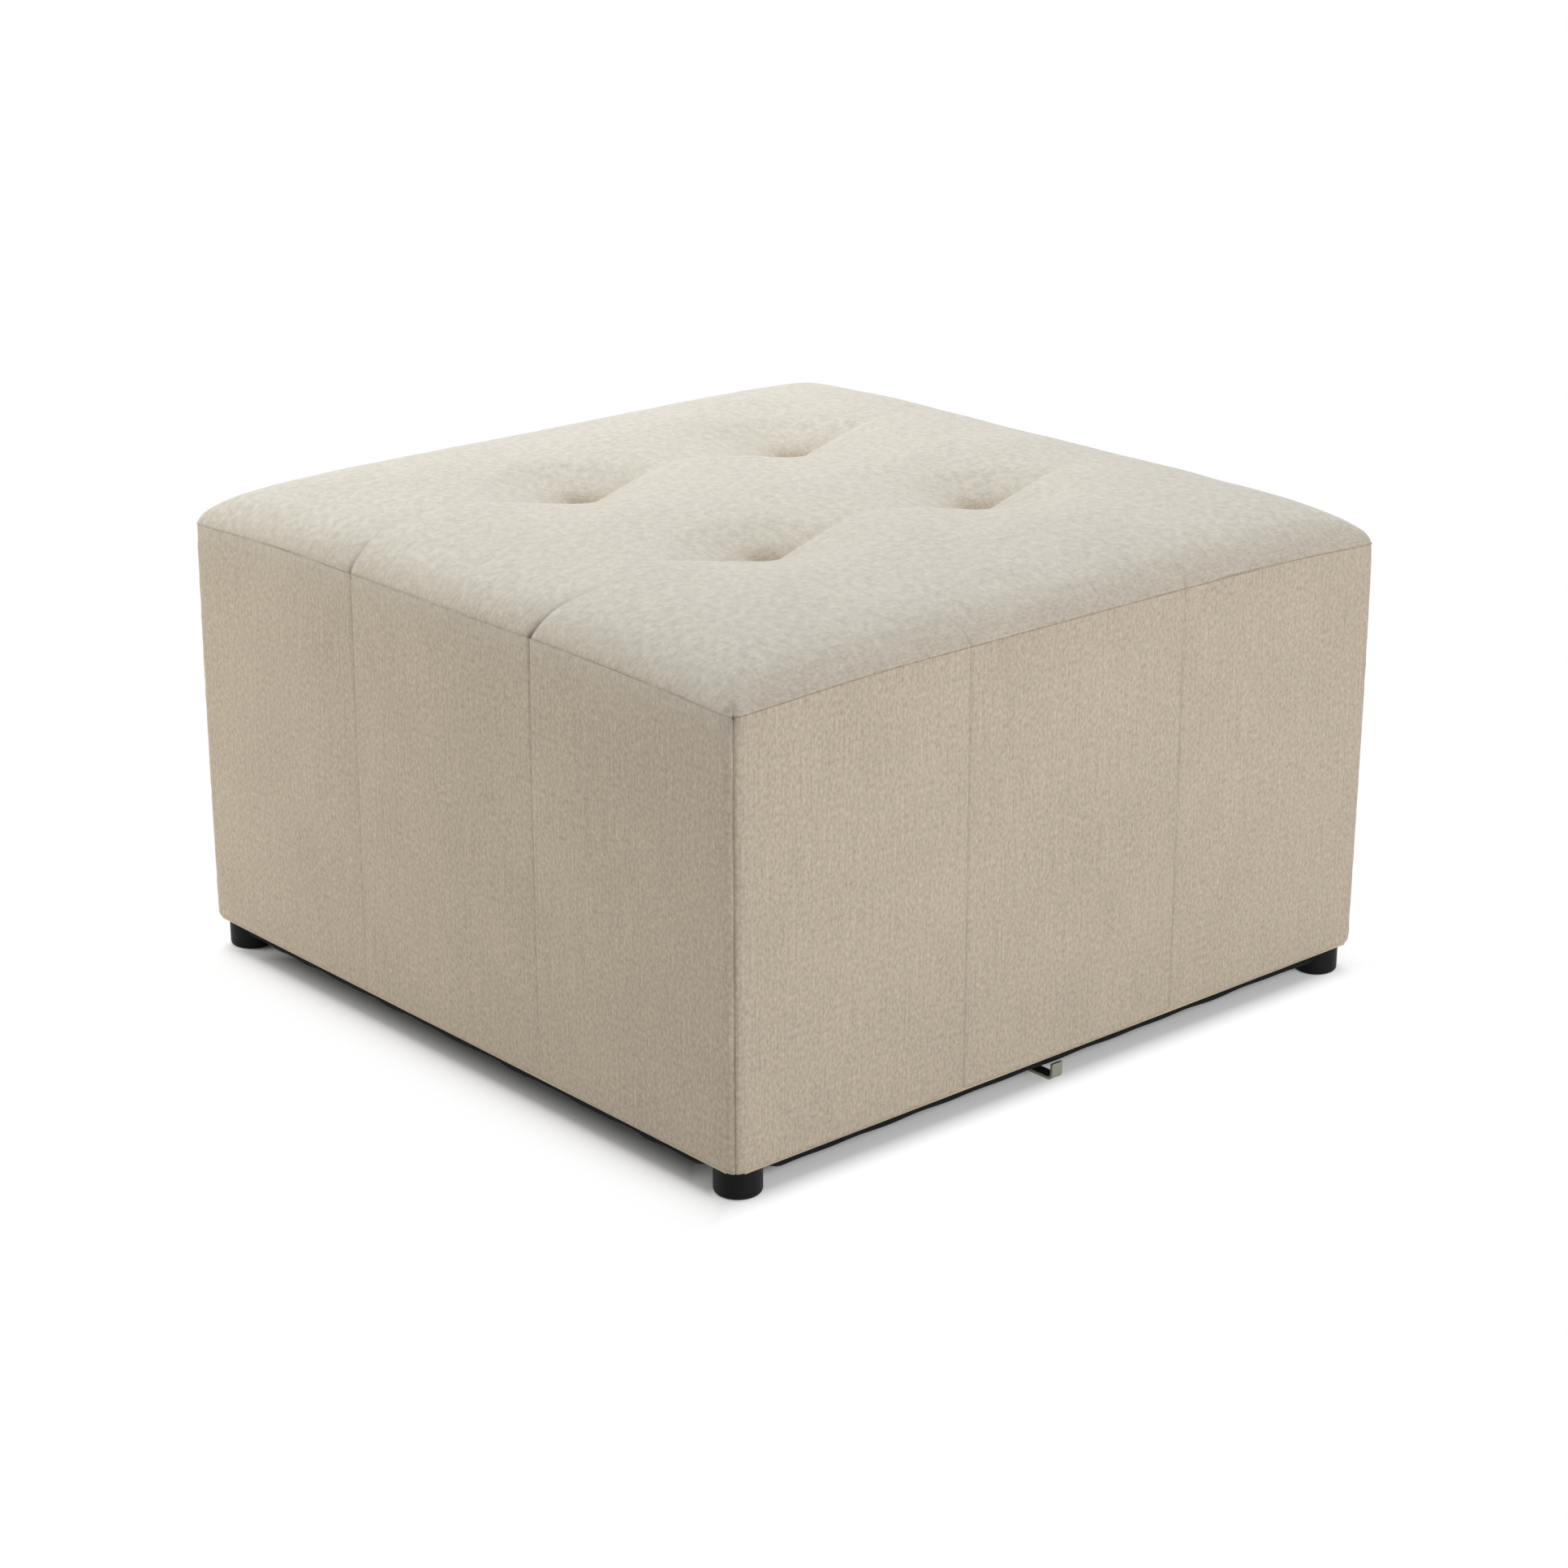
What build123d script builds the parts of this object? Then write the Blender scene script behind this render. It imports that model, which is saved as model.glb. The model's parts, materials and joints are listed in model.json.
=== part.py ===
from build123d import *
import os
from math import asin, cos, floor, radians, sin

# Overall sizes in millimetres: X is the width, Y the depth, Z up, and the floor is z = 0
body_width = 750.0
body_depth = 750.0
wall_height = 380.0
crown_height = 36.0

# Cover: three sewn panels on each side, a domed seat panel, and a hem turned under the rails
cover_thickness = 1.2
panels_per_side = 3
panel_swell = 1.5
seam_gap = 0.2
corner_radius = 12.0
hem_width = 30.0
crown_reach = 170.0
crown_corner_growth = 0.35
crown_levels = 8

# Tufts: each one sits where two panel seams would cross
tuft_radius = 75.0
tuft_depth = 30.0
tuft_neck_radius = 4.0
tuft_lift = 0.8
crease_depth = 3.0
crease_radius = 70.0
twine_diameter = 2.5
twine_hole_clearance = 1.5
toggle_diameter = 28.0
toggle_thickness = 5.0
knot_diameter = 7.0

# Soft filling
soft_gap = 0.3
wadding_thickness = 8.0
seat_foam_depth = 58.0
side_foam_thickness = 6.0

# Wooden frame
board_thickness = 3.0
deck_thickness = 12.0
post_size = 45.0
rail_width = 42.0
bottom_rail_height = 28.0
top_rail_height = 45.0
bearer_width = 30.0
bearer_height = 45.0
dowel_diameter = 8.0
dowel_depth = 15.0
dowel_inset = 14.0
wood_clearance = 0.05

# Deck screws
deck_screw_diameter = 4.0
deck_screw_head = 8.0
deck_screw_length = 35.0
deck_screw_spread = 420.0
bearer_screw_spread = 160.0

# Underside: dust cover and its staples
dust_thickness = 0.6
dust_inset = 7.0
staple_crown = 11.0
staple_leg = 8.0
staple_wire = 0.8
staple_pitch = 80.0
staple_inset = 24.0

# Screw-in feet
foot_height = 25.0
foot_diameter = 40.0
foot_inset = 26.0
foot_edge_radius = 4.0
foot_wall = 3.0
foot_floor = 5.0
foot_boss_diameter = 17.0
foot_rib_thickness = 2.4
foot_rib_drop = 4.0
stud_diameter = 8.0
stud_engagement = 14.0
stud_running_gap = 0.1
stud_hole_clearance = 1.0
insert_diameter = 12.0
insert_length = 16.0
insert_relief = 2.0

# Module link: one bent steel strap under the middle of the right side
strap_width = 12.0
strap_thickness = 2.5
strap_bend = 4.0
hook_setback = 1.0
hook_offset = -14.0
hook_floor_gap = 5.0
hook_mouth = 5.6
strap_end_gap = 3.0
strap_slot_clearance = 0.6
link_screw_diameter = 4.0
link_screw_head = 8.0
link_screw_head_height = 2.6
link_screw_length = 24.0
link_screw_pitch = 13.0

# Levels
cover_bottom = foot_height + dust_thickness
rail_bottom = cover_bottom + cover_thickness
seam_level = cover_bottom + wall_height
crown_top = seam_level + crown_height
deck_top = seam_level - seat_foam_depth
frame_top = deck_top - deck_thickness

# Plan distances from the middle, for the x and y directions
wall_x = body_width / 2 - panel_swell
wall_y = body_depth / 2 - panel_swell
lining = cover_thickness + side_foam_thickness
frame_inset = lining + board_thickness
foot_x = body_width / 2 - foot_inset
foot_y = body_depth / 2 - foot_inset
tuft_x = wall_x / panels_per_side
tuft_y = wall_y / panels_per_side

rail_inner = wall_x - frame_inset - rail_width

# Each side: its turn about Z, its distance from the middle and half its length
sides = {
    "right": (0, wall_x, wall_y),
    "back": (90, wall_y, wall_x),
    "left": (180, wall_x, wall_y),
    "front": (270, wall_y, wall_x),
}
corners = {
    "front_left": (-1, -1),
    "front_right": (1, -1),
    "back_left": (-1, 1),
    "back_right": (1, 1),
}
tufts = [(sx * tuft_x, sy * tuft_y) for sx, sy in corners.values()]
foot_points = [(sx * foot_x, sy * foot_y) for sx, sy in corners.values()]
rail_levels = {
    "bottom": (rail_bottom, bottom_rail_height),
    "top": (frame_top - top_rail_height, top_rail_height),
}


def write(piece, name):
    """Label a finished piece and write it as its own file."""
    piece.part.label = name
    export_step(piece.part, f"parts/{name}.step")


def side_plane(turn, level):
    """Plan of one side: local x points outward and local y runs along the side."""
    return Plane.XY.offset(level).rotated((0, 0, turn))


def side_point(turn, outward, along, level):
    """Place of a point given by its distances outward from and along a side."""
    c = cos(radians(turn))
    s = sin(radians(turn))
    return (outward * c - along * s, outward * s + along * c, level)


def rail_span(span):
    """Half the clear length between the posts of a side."""
    return span - frame_inset - post_size


def panel_sketch(turn, reach, span, index, depth):
    """Plan of one sewn panel, from its swelled face to a given depth behind it."""
    pitch = 2 * span / panels_per_side
    flat = span - corner_radius
    ends = []
    for sign, at_corner in ((-1, index == 0), (1, index == panels_per_side - 1)):
        edge = -span + (index + (1 + sign) / 2) * pitch - sign * seam_gap / 2
        ends.append((sign, at_corner, sign * flat if at_corner else edge))
    low, high = ends[0][2], ends[1][2]
    inner = {}
    with BuildSketch(side_plane(turn, cover_bottom)) as panel:
        with BuildLine():
            ThreePointArc((reach, low), (reach + panel_swell, (low + high) / 2), (reach, high))
            for sign, at_corner, edge in ends:
                inner[sign] = (reach - depth, edge)
                if not at_corner:
                    Line((reach, edge), inner[sign])
                    continue
                centre = (reach - corner_radius, sign * flat)
                outer_arc = CenterArc(centre, corner_radius, 0, sign * 45)
                if depth < corner_radius:
                    inner_arc = CenterArc(centre, corner_radius - depth, 0, sign * 45)
                    Line(outer_arc @ 1, inner_arc @ 1)
                else:
                    inner[sign] = (reach - depth, sign * (span - depth))
                    Line(outer_arc @ 1, inner[sign])
            Line(inner[-1], inner[1])
        make_face()
    return panel.sketch


def dome(inset):
    """Loft a block from the deck up to the crown of the seat, drawn in evenly from the cover's face."""
    sections = []
    for step in range(-1, crown_levels + 1):
        turn = radians(90 * max(step, 0) / crown_levels)
        draw_in = crown_reach - (crown_reach - inset) * cos(turn)
        rise = (crown_height - inset) * sin(turn)
        level = deck_top if step < 0 else seam_level + rise
        radius = corner_radius - inset + crown_corner_growth * draw_in
        with BuildSketch(Plane.XY.offset(level)) as section:
            RectangleRounded(2 * (wall_x - draw_in), 2 * (wall_y - draw_in), radius)
        sections.append(section.sketch)
    loft(sections, ruled=True)


def cut_tufts(inset):
    """Press the four funnels and the creases between them into a dome drawn in by inset."""
    top = crown_top + tuft_lift
    bottom = top - tuft_depth - inset
    flare = ((tuft_radius - tuft_neck_radius) ** 2 + tuft_depth**2) / (2 * tuft_depth)
    bend = flare - inset
    neck = tuft_radius - (tuft_depth * (2 * bend - tuft_depth)) ** 0.5
    half_turn = asin((tuft_radius - neck) / bend) / 2
    middle = (tuft_radius - bend * sin(half_turn), top - flare + bend * cos(half_turn))
    for x, y in tufts:
        with BuildSketch(Plane((x, y, 0), x_dir=(1, 0, 0), z_dir=(0, -1, 0))) as funnel:
            with BuildLine():
                ThreePointArc((tuft_radius, top - inset), middle, (neck, bottom))
                Polyline(
                    (neck, bottom),
                    (0, bottom),
                    (0, top + tuft_depth),
                    (tuft_radius, top + tuft_depth),
                    (tuft_radius, top - inset),
                )
            make_face()
        revolve(funnel.sketch, axis=Axis((x, y, 0), (0, 0, 1)), mode=Mode.SUBTRACT)
    hollow = crown_top - crease_depth + crease_radius
    for sign in (-1, 1):
        for origin, normal, reach in (
            ((0, sign * tuft_y, hollow), (1, 0, 0), tuft_x),
            ((sign * tuft_x, 0, hollow), (0, 1, 0), tuft_y),
        ):
            with BuildSketch(Plane(origin=origin, z_dir=normal)) as crease:
                Circle(crease_radius + inset)
            extrude(crease.sketch, amount=reach, both=True, mode=Mode.SUBTRACT)


def quilted_sheet(outer, inner):
    """Sheet between two nested tufted domes, trimmed at the top seam everywhere but in its tufts."""
    with BuildPart() as hollow:
        dome(inner)
        cut_tufts(inner)
    with BuildPart() as sheet:
        dome(outer)
        cut_tufts(outer)
        add(hollow.part, mode=Mode.SUBTRACT)
        with BuildSketch(Plane.XY.offset(deck_top)):
            Rectangle(2 * wall_x, 2 * wall_y)
            trim = inner + soft_gap
            RectangleRounded(
                2 * (wall_x - trim), 2 * (wall_y - trim), corner_radius, mode=Mode.SUBTRACT
            )
        extrude(amount=seat_foam_depth, mode=Mode.SUBTRACT)
    return sheet


def cut_holes(points, diameter, level, depth):
    """Cut round holes of one size upward from a level at the given points."""
    with BuildSketch(Plane.XY.offset(level)) as holes:
        with Locations(*points):
            Circle(diameter / 2)
    extrude(holes.sketch, amount=depth, mode=Mode.SUBTRACT)


def dowel_planes(side, level_name):
    """Planes at both ends of a rail, where its dowels cross into the posts."""
    turn, reach, span = sides[side]
    low, height = rail_levels[level_name]
    outward = reach - frame_inset - dowel_inset
    along = side_point(turn, 0, 1, 0)
    return [
        Plane(side_point(turn, outward, sign * rail_span(span), low + height / 2), z_dir=along)
        for sign in (-1, 1)
    ]


all_dowel_planes = [
    plane for side in sides for level_name in rail_levels for plane in dowel_planes(side, level_name)
]


def bore_dowels(planes):
    """Bore the dowel holes that cross the given planes."""
    for plane in planes:
        with BuildSketch(plane) as bore:
            Circle(dowel_diameter / 2 + wood_clearance)
        extrude(bore.sketch, amount=dowel_depth + wood_clearance, both=True, mode=Mode.SUBTRACT)


# Deck screws stand over the middle of each top rail and along the bearer
deck_screw_points = [
    side_point(turn, reach - frame_inset - rail_width / 2, sign * deck_screw_spread / 2, deck_top)
    for turn, reach, span in sides.values()
    for sign in (-1, 1)
]
deck_screw_points += [(sign * bearer_screw_spread / 2, 0, deck_top) for sign in (-1, 1)]


def deck_screw_shape(clearance, mode):
    """Countersunk screws from the top of the deck, or with a clearance the holes for them."""
    shank = deck_screw_diameter / 2 + clearance
    head = deck_screw_head / 2 + clearance
    tip = deck_screw_length + clearance
    for point in deck_screw_points:
        with BuildSketch(Plane(point, x_dir=(1, 0, 0), z_dir=(0, -1, 0))) as screw:
            with BuildLine():
                Polyline(
                    (0, 0),
                    (head, 0),
                    (shank, shank - head),
                    (shank, shank - tip),
                    (0, -tip),
                    close=True,
                )
            make_face()
        revolve(screw.sketch, axis=Axis(point, (0, 0, 1)), mode=mode)


# Link strap screws go outward through the strap into the inner face of the right rail
link_screw_middle = rail_bottom + bottom_rail_height / 2
link_screw_planes = [
    Plane(
        origin=(rail_inner, hook_offset, link_screw_middle + sign * link_screw_pitch / 2),
        z_dir=(1, 0, 0),
    )
    for sign in (-1, 1)
]


def bore_link_screws(diameter, forward, backward):
    """Bore the link screw holes ahead of and behind the rail's inner face."""
    for plane in link_screw_planes:
        with BuildSketch(plane.offset(-backward)) as bore:
            Circle(diameter / 2)
        extrude(bore.sketch, amount=forward + backward, mode=Mode.SUBTRACT)


def make_posts():
    """Corner posts, with a blind hole at the foot of each for its threaded insert."""
    for name, (sx, sy) in corners.items():
        x = sx * (wall_x - frame_inset - post_size / 2)
        y = sy * (wall_y - frame_inset - post_size / 2)
        with BuildPart() as post:
            with BuildSketch(Plane.XY.offset(rail_bottom)):
                with Locations((x, y)):
                    Rectangle(post_size, post_size)
            extrude(amount=frame_top - rail_bottom)
            cut_holes(
                foot_points,
                insert_diameter + 2 * wood_clearance,
                rail_bottom,
                insert_length + insert_relief,
            )
            bore_dowels(all_dowel_planes)
        write(post, f"{name}_post")


def make_rails():
    """Bottom and top rails between the posts, flush with their outer faces."""
    for name, (turn, reach, span) in sides.items():
        for level_name, (low, height) in rail_levels.items():
            outward = reach - frame_inset - rail_width / 2
            with BuildPart() as rail:
                with BuildSketch(side_plane(turn, low)):
                    with Locations((outward, 0)):
                        Rectangle(rail_width, 2 * rail_span(span))
                extrude(amount=height)
                bore_dowels(dowel_planes(name, level_name))
                if level_name == "top":
                    deck_screw_shape(wood_clearance, Mode.SUBTRACT)
                elif name == "right":
                    bore_link_screws(link_screw_diameter + 2 * wood_clearance, link_screw_length, 0)
            write(rail, f"{name}_{level_name}_rail")


def make_dowels():
    """Glued dowels, half in the rail and half in the post."""
    with BuildPart() as dowels:
        for plane in all_dowel_planes:
            with BuildSketch(plane):
                Circle(dowel_diameter / 2)
            extrude(amount=dowel_depth, both=True)
    write(dowels, "frame_dowels")


def make_bearer():
    """Bearer across the middle that keeps the deck from sagging."""
    with BuildPart() as bearer:
        with BuildSketch(Plane.XY.offset(frame_top - bearer_height)):
            Rectangle(2 * rail_inner, bearer_width)
        extrude(amount=bearer_height)
        deck_screw_shape(wood_clearance, Mode.SUBTRACT)
    write(bearer, "deck_bearer")


def make_boards():
    """Thin hardboard skins on the four sides of the frame."""
    for name, (turn, reach, span) in sides.items():
        lap = board_thickness if name in ("left", "right") else 0
        with BuildPart() as board:
            with BuildSketch(side_plane(turn, rail_bottom)):
                with Locations((reach - frame_inset + board_thickness / 2, 0)):
                    Rectangle(board_thickness, 2 * (span - frame_inset + lap))
            extrude(amount=frame_top - rail_bottom)
        write(board, f"{name}_board")


def make_deck():
    """Plywood deck with a hole for each tuft twine and countersunk screw holes."""
    with BuildPart() as deck:
        with BuildSketch(Plane.XY.offset(frame_top)):
            Rectangle(2 * (wall_x - lining), 2 * (wall_y - lining))
            with Locations(*tufts):
                Circle(twine_diameter / 2 + twine_hole_clearance, mode=Mode.SUBTRACT)
        extrude(amount=deck_thickness)
        deck_screw_shape(wood_clearance, Mode.SUBTRACT)
    write(deck, "seat_deck")


def make_deck_screws():
    """Countersunk screws that hold the deck down."""
    with BuildPart() as screws:
        deck_screw_shape(0, Mode.ADD)
    write(screws, "deck_screws")


def make_side_foams():
    """Thin foam sheets glued over the boards and up the sides of the seat foam."""
    for name, (turn, reach, span) in sides.items():
        with BuildPart() as foam:
            with BuildSketch(side_plane(turn, rail_bottom)):
                with Locations((reach - lining + side_foam_thickness / 2, 0)):
                    Rectangle(side_foam_thickness, 2 * (span - corner_radius))
            extrude(amount=seam_level - rail_bottom)
        write(foam, f"{name}_foam")


def make_seat_foam():
    """Seat foam block with its domed top, tuft funnels and twine holes."""
    inset = cover_thickness + wadding_thickness + 2 * soft_gap
    with BuildPart() as foam:
        dome(inset)
        with BuildSketch(Plane.XY.offset(deck_top)):
            Rectangle(2 * (wall_x - lining), 2 * (wall_y - lining))
        extrude(amount=seat_foam_depth)
        cut_tufts(inset)
        cut_holes(tufts, twine_diameter + 2 * soft_gap, deck_top, seat_foam_depth)
    write(foam, "seat_foam")


def make_seat_wadding():
    """Fibre wadding laid over the foam, pulled down with the cover at each tuft."""
    outer = cover_thickness + soft_gap
    sheet = quilted_sheet(outer, outer + wadding_thickness)
    with BuildPart() as wadding:
        add(sheet.part)
        cut_holes(tufts, twine_diameter + 2 * soft_gap, deck_top, seat_foam_depth + crown_height)
    write(wadding, "seat_wadding")


def make_top_cover():
    """Seat panel of the cover: a thin dome with four blind tufts."""
    write(quilted_sheet(0, cover_thickness), "top_cover")


def make_side_covers():
    """Side covers of three sewn panels each, with the hem turned under the rails."""
    for name, (turn, reach, span) in sides.items():
        with BuildPart() as cover:
            for index in range(panels_per_side):
                wall = panel_sketch(turn, reach, span, index, cover_thickness)
                extrude(wall, amount=wall_height)
                hem = panel_sketch(turn, reach, span, index, cover_thickness + hem_width)
                extrude(hem, amount=cover_thickness)
            cut_holes(
                foot_points, stud_diameter + 2 * stud_hole_clearance, cover_bottom, cover_thickness
            )
        write(cover, f"{name}_cover")


def make_tuft_hardware():
    """Twines from the tufts down through the deck, each knotted under a toggle."""
    twine_top = crown_top + tuft_lift - tuft_depth - cover_thickness
    toggle_bottom = frame_top - toggle_thickness
    knot_middle = toggle_bottom - knot_diameter / 2
    with BuildPart() as toggles:
        with BuildSketch(Plane.XY.offset(toggle_bottom)):
            with Locations(*tufts):
                Circle(toggle_diameter / 2)
                Circle(twine_diameter / 2 + wood_clearance, mode=Mode.SUBTRACT)
        extrude(amount=toggle_thickness)
    write(toggles, "tuft_toggles")
    with BuildPart() as twines:
        with BuildSketch(Plane.XY.offset(knot_middle)):
            with Locations(*tufts):
                Circle(twine_diameter / 2)
        extrude(amount=twine_top - knot_middle)
        with Locations(*[(x, y, knot_middle) for x, y in tufts]):
            Sphere(knot_diameter / 2)
    write(twines, "tuft_twines")


def make_dust_cover():
    """Black dust cover under the frame, holed for the foot studs and slit for the link strap."""
    with BuildPart() as dust_cover:
        with BuildSketch(Plane.XY.offset(foot_height)):
            Rectangle(2 * (wall_x - dust_inset), 2 * (wall_y - dust_inset))
            with Locations(*foot_points):
                Circle(stud_diameter / 2 + stud_hole_clearance, mode=Mode.SUBTRACT)
            with Locations((rail_inner - strap_thickness / 2, hook_offset)):
                Rectangle(
                    strap_thickness + 2 * strap_slot_clearance,
                    strap_width + 2 * strap_slot_clearance,
                    mode=Mode.SUBTRACT,
                )
        extrude(amount=dust_thickness)
    write(dust_cover, "dust_cover")


def make_staples():
    """Staples driven up through the dust cover and the hem into the bottom rails."""
    legs = [(sign * (staple_crown - staple_wire) / 2, staple_leg / 2) for sign in (-1, 1)]
    with BuildPart() as staples:
        for turn, reach, span in sides.values():
            along = side_point(turn, 0, 1, 0)
            outward = side_point(turn, 1, 0, 0)
            count = floor((rail_span(span) - staple_crown) / staple_pitch)
            for index in range(-count, count + 1):
                seat = side_point(turn, reach - staple_inset, index * staple_pitch, foot_height)
                with BuildSketch(Plane(seat, x_dir=along, z_dir=outward)):
                    with Locations((0, -staple_wire / 2)):
                        Rectangle(staple_crown, staple_wire)
                    with Locations(*legs):
                        Rectangle(staple_wire, staple_leg)
                extrude(amount=staple_wire / 2, both=True)
    write(staples, "dust_cover_staples")


def make_feet():
    """Moulded screw-in feet: a closed cup with ribs and a boss round the steel stud."""
    stud_bottom = foot_floor
    stud_top = rail_bottom + stud_engagement
    radius = foot_diameter / 2
    for name, (sx, sy) in corners.items():
        x = sx * foot_x
        y = sy * foot_y
        with BuildPart() as foot:
            with BuildSketch(Plane.XY):
                with Locations((x, y)):
                    Circle(radius)
            extrude(amount=foot_height)
            fillet(foot.edges().sort_by(Axis.Z)[0], foot_edge_radius)
            with BuildSketch(Plane.XY.offset(foot_floor)):
                with Locations((x, y)):
                    Circle(radius - foot_wall)
                    Circle(foot_boss_diameter / 2, mode=Mode.SUBTRACT)
            extrude(amount=foot_height - foot_floor, mode=Mode.SUBTRACT)
            with BuildSketch(Plane.XY.offset(foot_floor)):
                with Locations((x, y)):
                    Rectangle(2 * radius - foot_wall, foot_rib_thickness)
                    Rectangle(foot_rib_thickness, 2 * radius - foot_wall)
            extrude(amount=foot_height - foot_floor - foot_rib_drop)
            cut_holes([(x, y)], stud_diameter, stud_bottom, foot_height)
        write(foot, f"{name}_foot")
        with BuildPart() as stud:
            with BuildSketch(Plane.XY.offset(stud_bottom)):
                with Locations((x, y)):
                    Circle(stud_diameter / 2)
            extrude(amount=stud_top - stud_bottom)
            chamfer(stud.edges().sort_by(Axis.Z)[-1], stud_diameter / 8)
        write(stud, f"{name}_stud")


def make_inserts():
    """Threaded inserts in the ends of the posts that take the foot studs."""
    with BuildPart() as inserts:
        with BuildSketch(Plane.XY.offset(rail_bottom)):
            with Locations(*foot_points):
                Circle(insert_diameter / 2)
                Circle(stud_diameter / 2 + stud_running_gap, mode=Mode.SUBTRACT)
        extrude(amount=insert_length)
    write(inserts, "foot_inserts")


def make_link():
    """Steel link strap: up the inside of the rail, out under it, and up again in a lip."""
    half = strap_thickness / 2
    inner = rail_inner - half
    outer = body_width / 2 - hook_setback - half
    low = hook_floor_gap + half
    top = rail_bottom + bottom_rail_height - strap_end_gap
    with BuildPart() as strap:
        with BuildSketch(Plane((0, hook_offset, 0), x_dir=(1, 0, 0), z_dir=(0, -1, 0))):
            with BuildLine():
                FilletPolyline(
                    (inner, top),
                    (inner, low),
                    (outer, low),
                    (outer, cover_bottom - hook_mouth),
                    radius=strap_bend,
                )
            trace(line_width=strap_thickness)
        extrude(amount=strap_width / 2, both=True)
        bore_link_screws(link_screw_diameter + 2 * wood_clearance, 0, strap_thickness)
    write(strap, "link_hook")
    with BuildPart() as screws:
        for plane in link_screw_planes:
            with BuildSketch(plane.offset(-strap_thickness)):
                Circle(link_screw_diameter / 2)
            extrude(amount=link_screw_length)
            with BuildSketch(plane.offset(-strap_thickness - link_screw_head_height)):
                Circle(link_screw_head / 2)
            extrude(amount=link_screw_head_height)
    write(screws, "link_screws")


os.makedirs("parts", exist_ok=True)
make_posts()
make_rails()
make_dowels()
make_bearer()
make_boards()
make_deck()
make_deck_screws()
make_side_foams()
make_seat_foam()
make_seat_wadding()
make_top_cover()
make_side_covers()
make_tuft_hardware()
make_dust_cover()
make_staples()
make_feet()
make_inserts()
make_link()
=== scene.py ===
"""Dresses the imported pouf: its cloth covers, seams, dust sheet, finishes and a plain studio."""

import json
import logging
import math
from dataclasses import dataclass, field
from enum import Enum, IntEnum
from typing import Any, Callable, Sequence, Union

import bpy
import numpy as np
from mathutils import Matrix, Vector


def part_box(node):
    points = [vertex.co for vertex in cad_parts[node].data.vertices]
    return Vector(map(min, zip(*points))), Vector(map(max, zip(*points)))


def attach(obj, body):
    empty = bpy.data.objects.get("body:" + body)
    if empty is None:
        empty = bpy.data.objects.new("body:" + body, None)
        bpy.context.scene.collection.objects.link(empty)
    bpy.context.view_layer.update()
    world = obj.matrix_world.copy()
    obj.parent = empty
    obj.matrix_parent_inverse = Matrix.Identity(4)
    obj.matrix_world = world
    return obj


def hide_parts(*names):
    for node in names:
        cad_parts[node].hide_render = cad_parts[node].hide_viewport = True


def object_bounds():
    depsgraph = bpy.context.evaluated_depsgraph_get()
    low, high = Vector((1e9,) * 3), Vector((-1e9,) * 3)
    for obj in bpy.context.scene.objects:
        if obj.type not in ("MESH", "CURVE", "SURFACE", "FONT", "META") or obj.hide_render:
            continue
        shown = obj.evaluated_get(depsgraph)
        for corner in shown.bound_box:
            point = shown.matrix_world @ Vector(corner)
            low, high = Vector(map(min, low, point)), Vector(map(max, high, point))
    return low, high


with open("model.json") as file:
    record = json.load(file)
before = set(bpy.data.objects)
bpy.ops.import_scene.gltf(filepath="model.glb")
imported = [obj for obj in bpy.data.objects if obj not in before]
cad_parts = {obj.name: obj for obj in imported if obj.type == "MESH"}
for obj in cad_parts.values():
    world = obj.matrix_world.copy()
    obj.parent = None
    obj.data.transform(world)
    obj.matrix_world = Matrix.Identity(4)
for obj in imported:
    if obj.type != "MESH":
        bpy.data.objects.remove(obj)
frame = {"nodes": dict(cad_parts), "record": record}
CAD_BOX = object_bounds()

LOG = logging.getLogger("pouf")
MM = 0.001
TAU = 2 * math.pi
QUARTER = math.pi / 2
SLIVER = 1e-12
CLOTH_MAP = "weave"
# Name of the mesh tone that paints shade into the seams, along the edge folds and at the corner dimples.
PAINTED_SEAM_SHADE = "painted_seam_shade"
# Name of the mesh tone for the lighter brushed colour: partly the cloth's pile and partly painted light on
# the top, with painted shade in the tufts and a painted highlight under the front's and back's top seam.
NAP_AND_PAINTED_LIGHT = "nap_and_painted_light"
STITCH = {"Pitch": 4.2 * MM, "Length": 2.9 * MM, "Thickness": 0.4 * MM, "Slant": 0.12}
STITCH_SEED = 7
STUFFING = {
    "quality": 6,
    "mass": 0.2,
    "tension_stiffness": 18,
    "compression_stiffness": 12,
    "shear_stiffness": 6,
    "bending_stiffness": 0.8,
    "use_pressure": True,
    "uniform_pressure_force": 4.0,
    "shrink_min": -0.012,
}
WHITE = (1.0, 1.0, 1.0, 1.0)
Array = np.ndarray
Colour = tuple[float, float, float, float]
Place = tuple[float, float, float]


class Body(Enum):
    """The CAD body that a soft piece rides on."""

    FRAME = "body"


class Side(Enum):
    """A side of the pouf, with the quarter turns that bring the front to it."""

    FRONT = 0
    RIGHT = 1
    BACK = 2
    LEFT = 3

    @property
    def word(self) -> str:
        """The side's name as the CAD nodes spell it."""
        return self.name.lower()

    @property
    def runs_along_x(self) -> bool:
        """True for the front and the back."""
        return self.value % 2 == 0


class Slot(Enum):
    """Material slots of the record."""

    COVER = "cover_cloth"
    DUST = "dust_cloth"
    FOOT = "foot_plastic"
    STEEL = "zinc_steel"
    PINE = "pine"
    BEECH = "beech"
    PLY = "plywood"
    HARDBOARD = "hardboard"
    FOAM = "foam"
    WADDING = "wadding"
    TWINE = "twine"
    TOGGLE = "toggle_plastic"


class Seed(IntEnum):
    """The first seed of each set of random draws."""

    SEAT_WAVE = 5
    SEAT_PUCKER = 11
    SEAT_SHADE = 21
    SIDE_GATHER = 40
    SIDE_SHADE = 60
    DUST_EDGE = 61
    SIDE_PUCKER = 90
    SIDE_WAVE = 130


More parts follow.
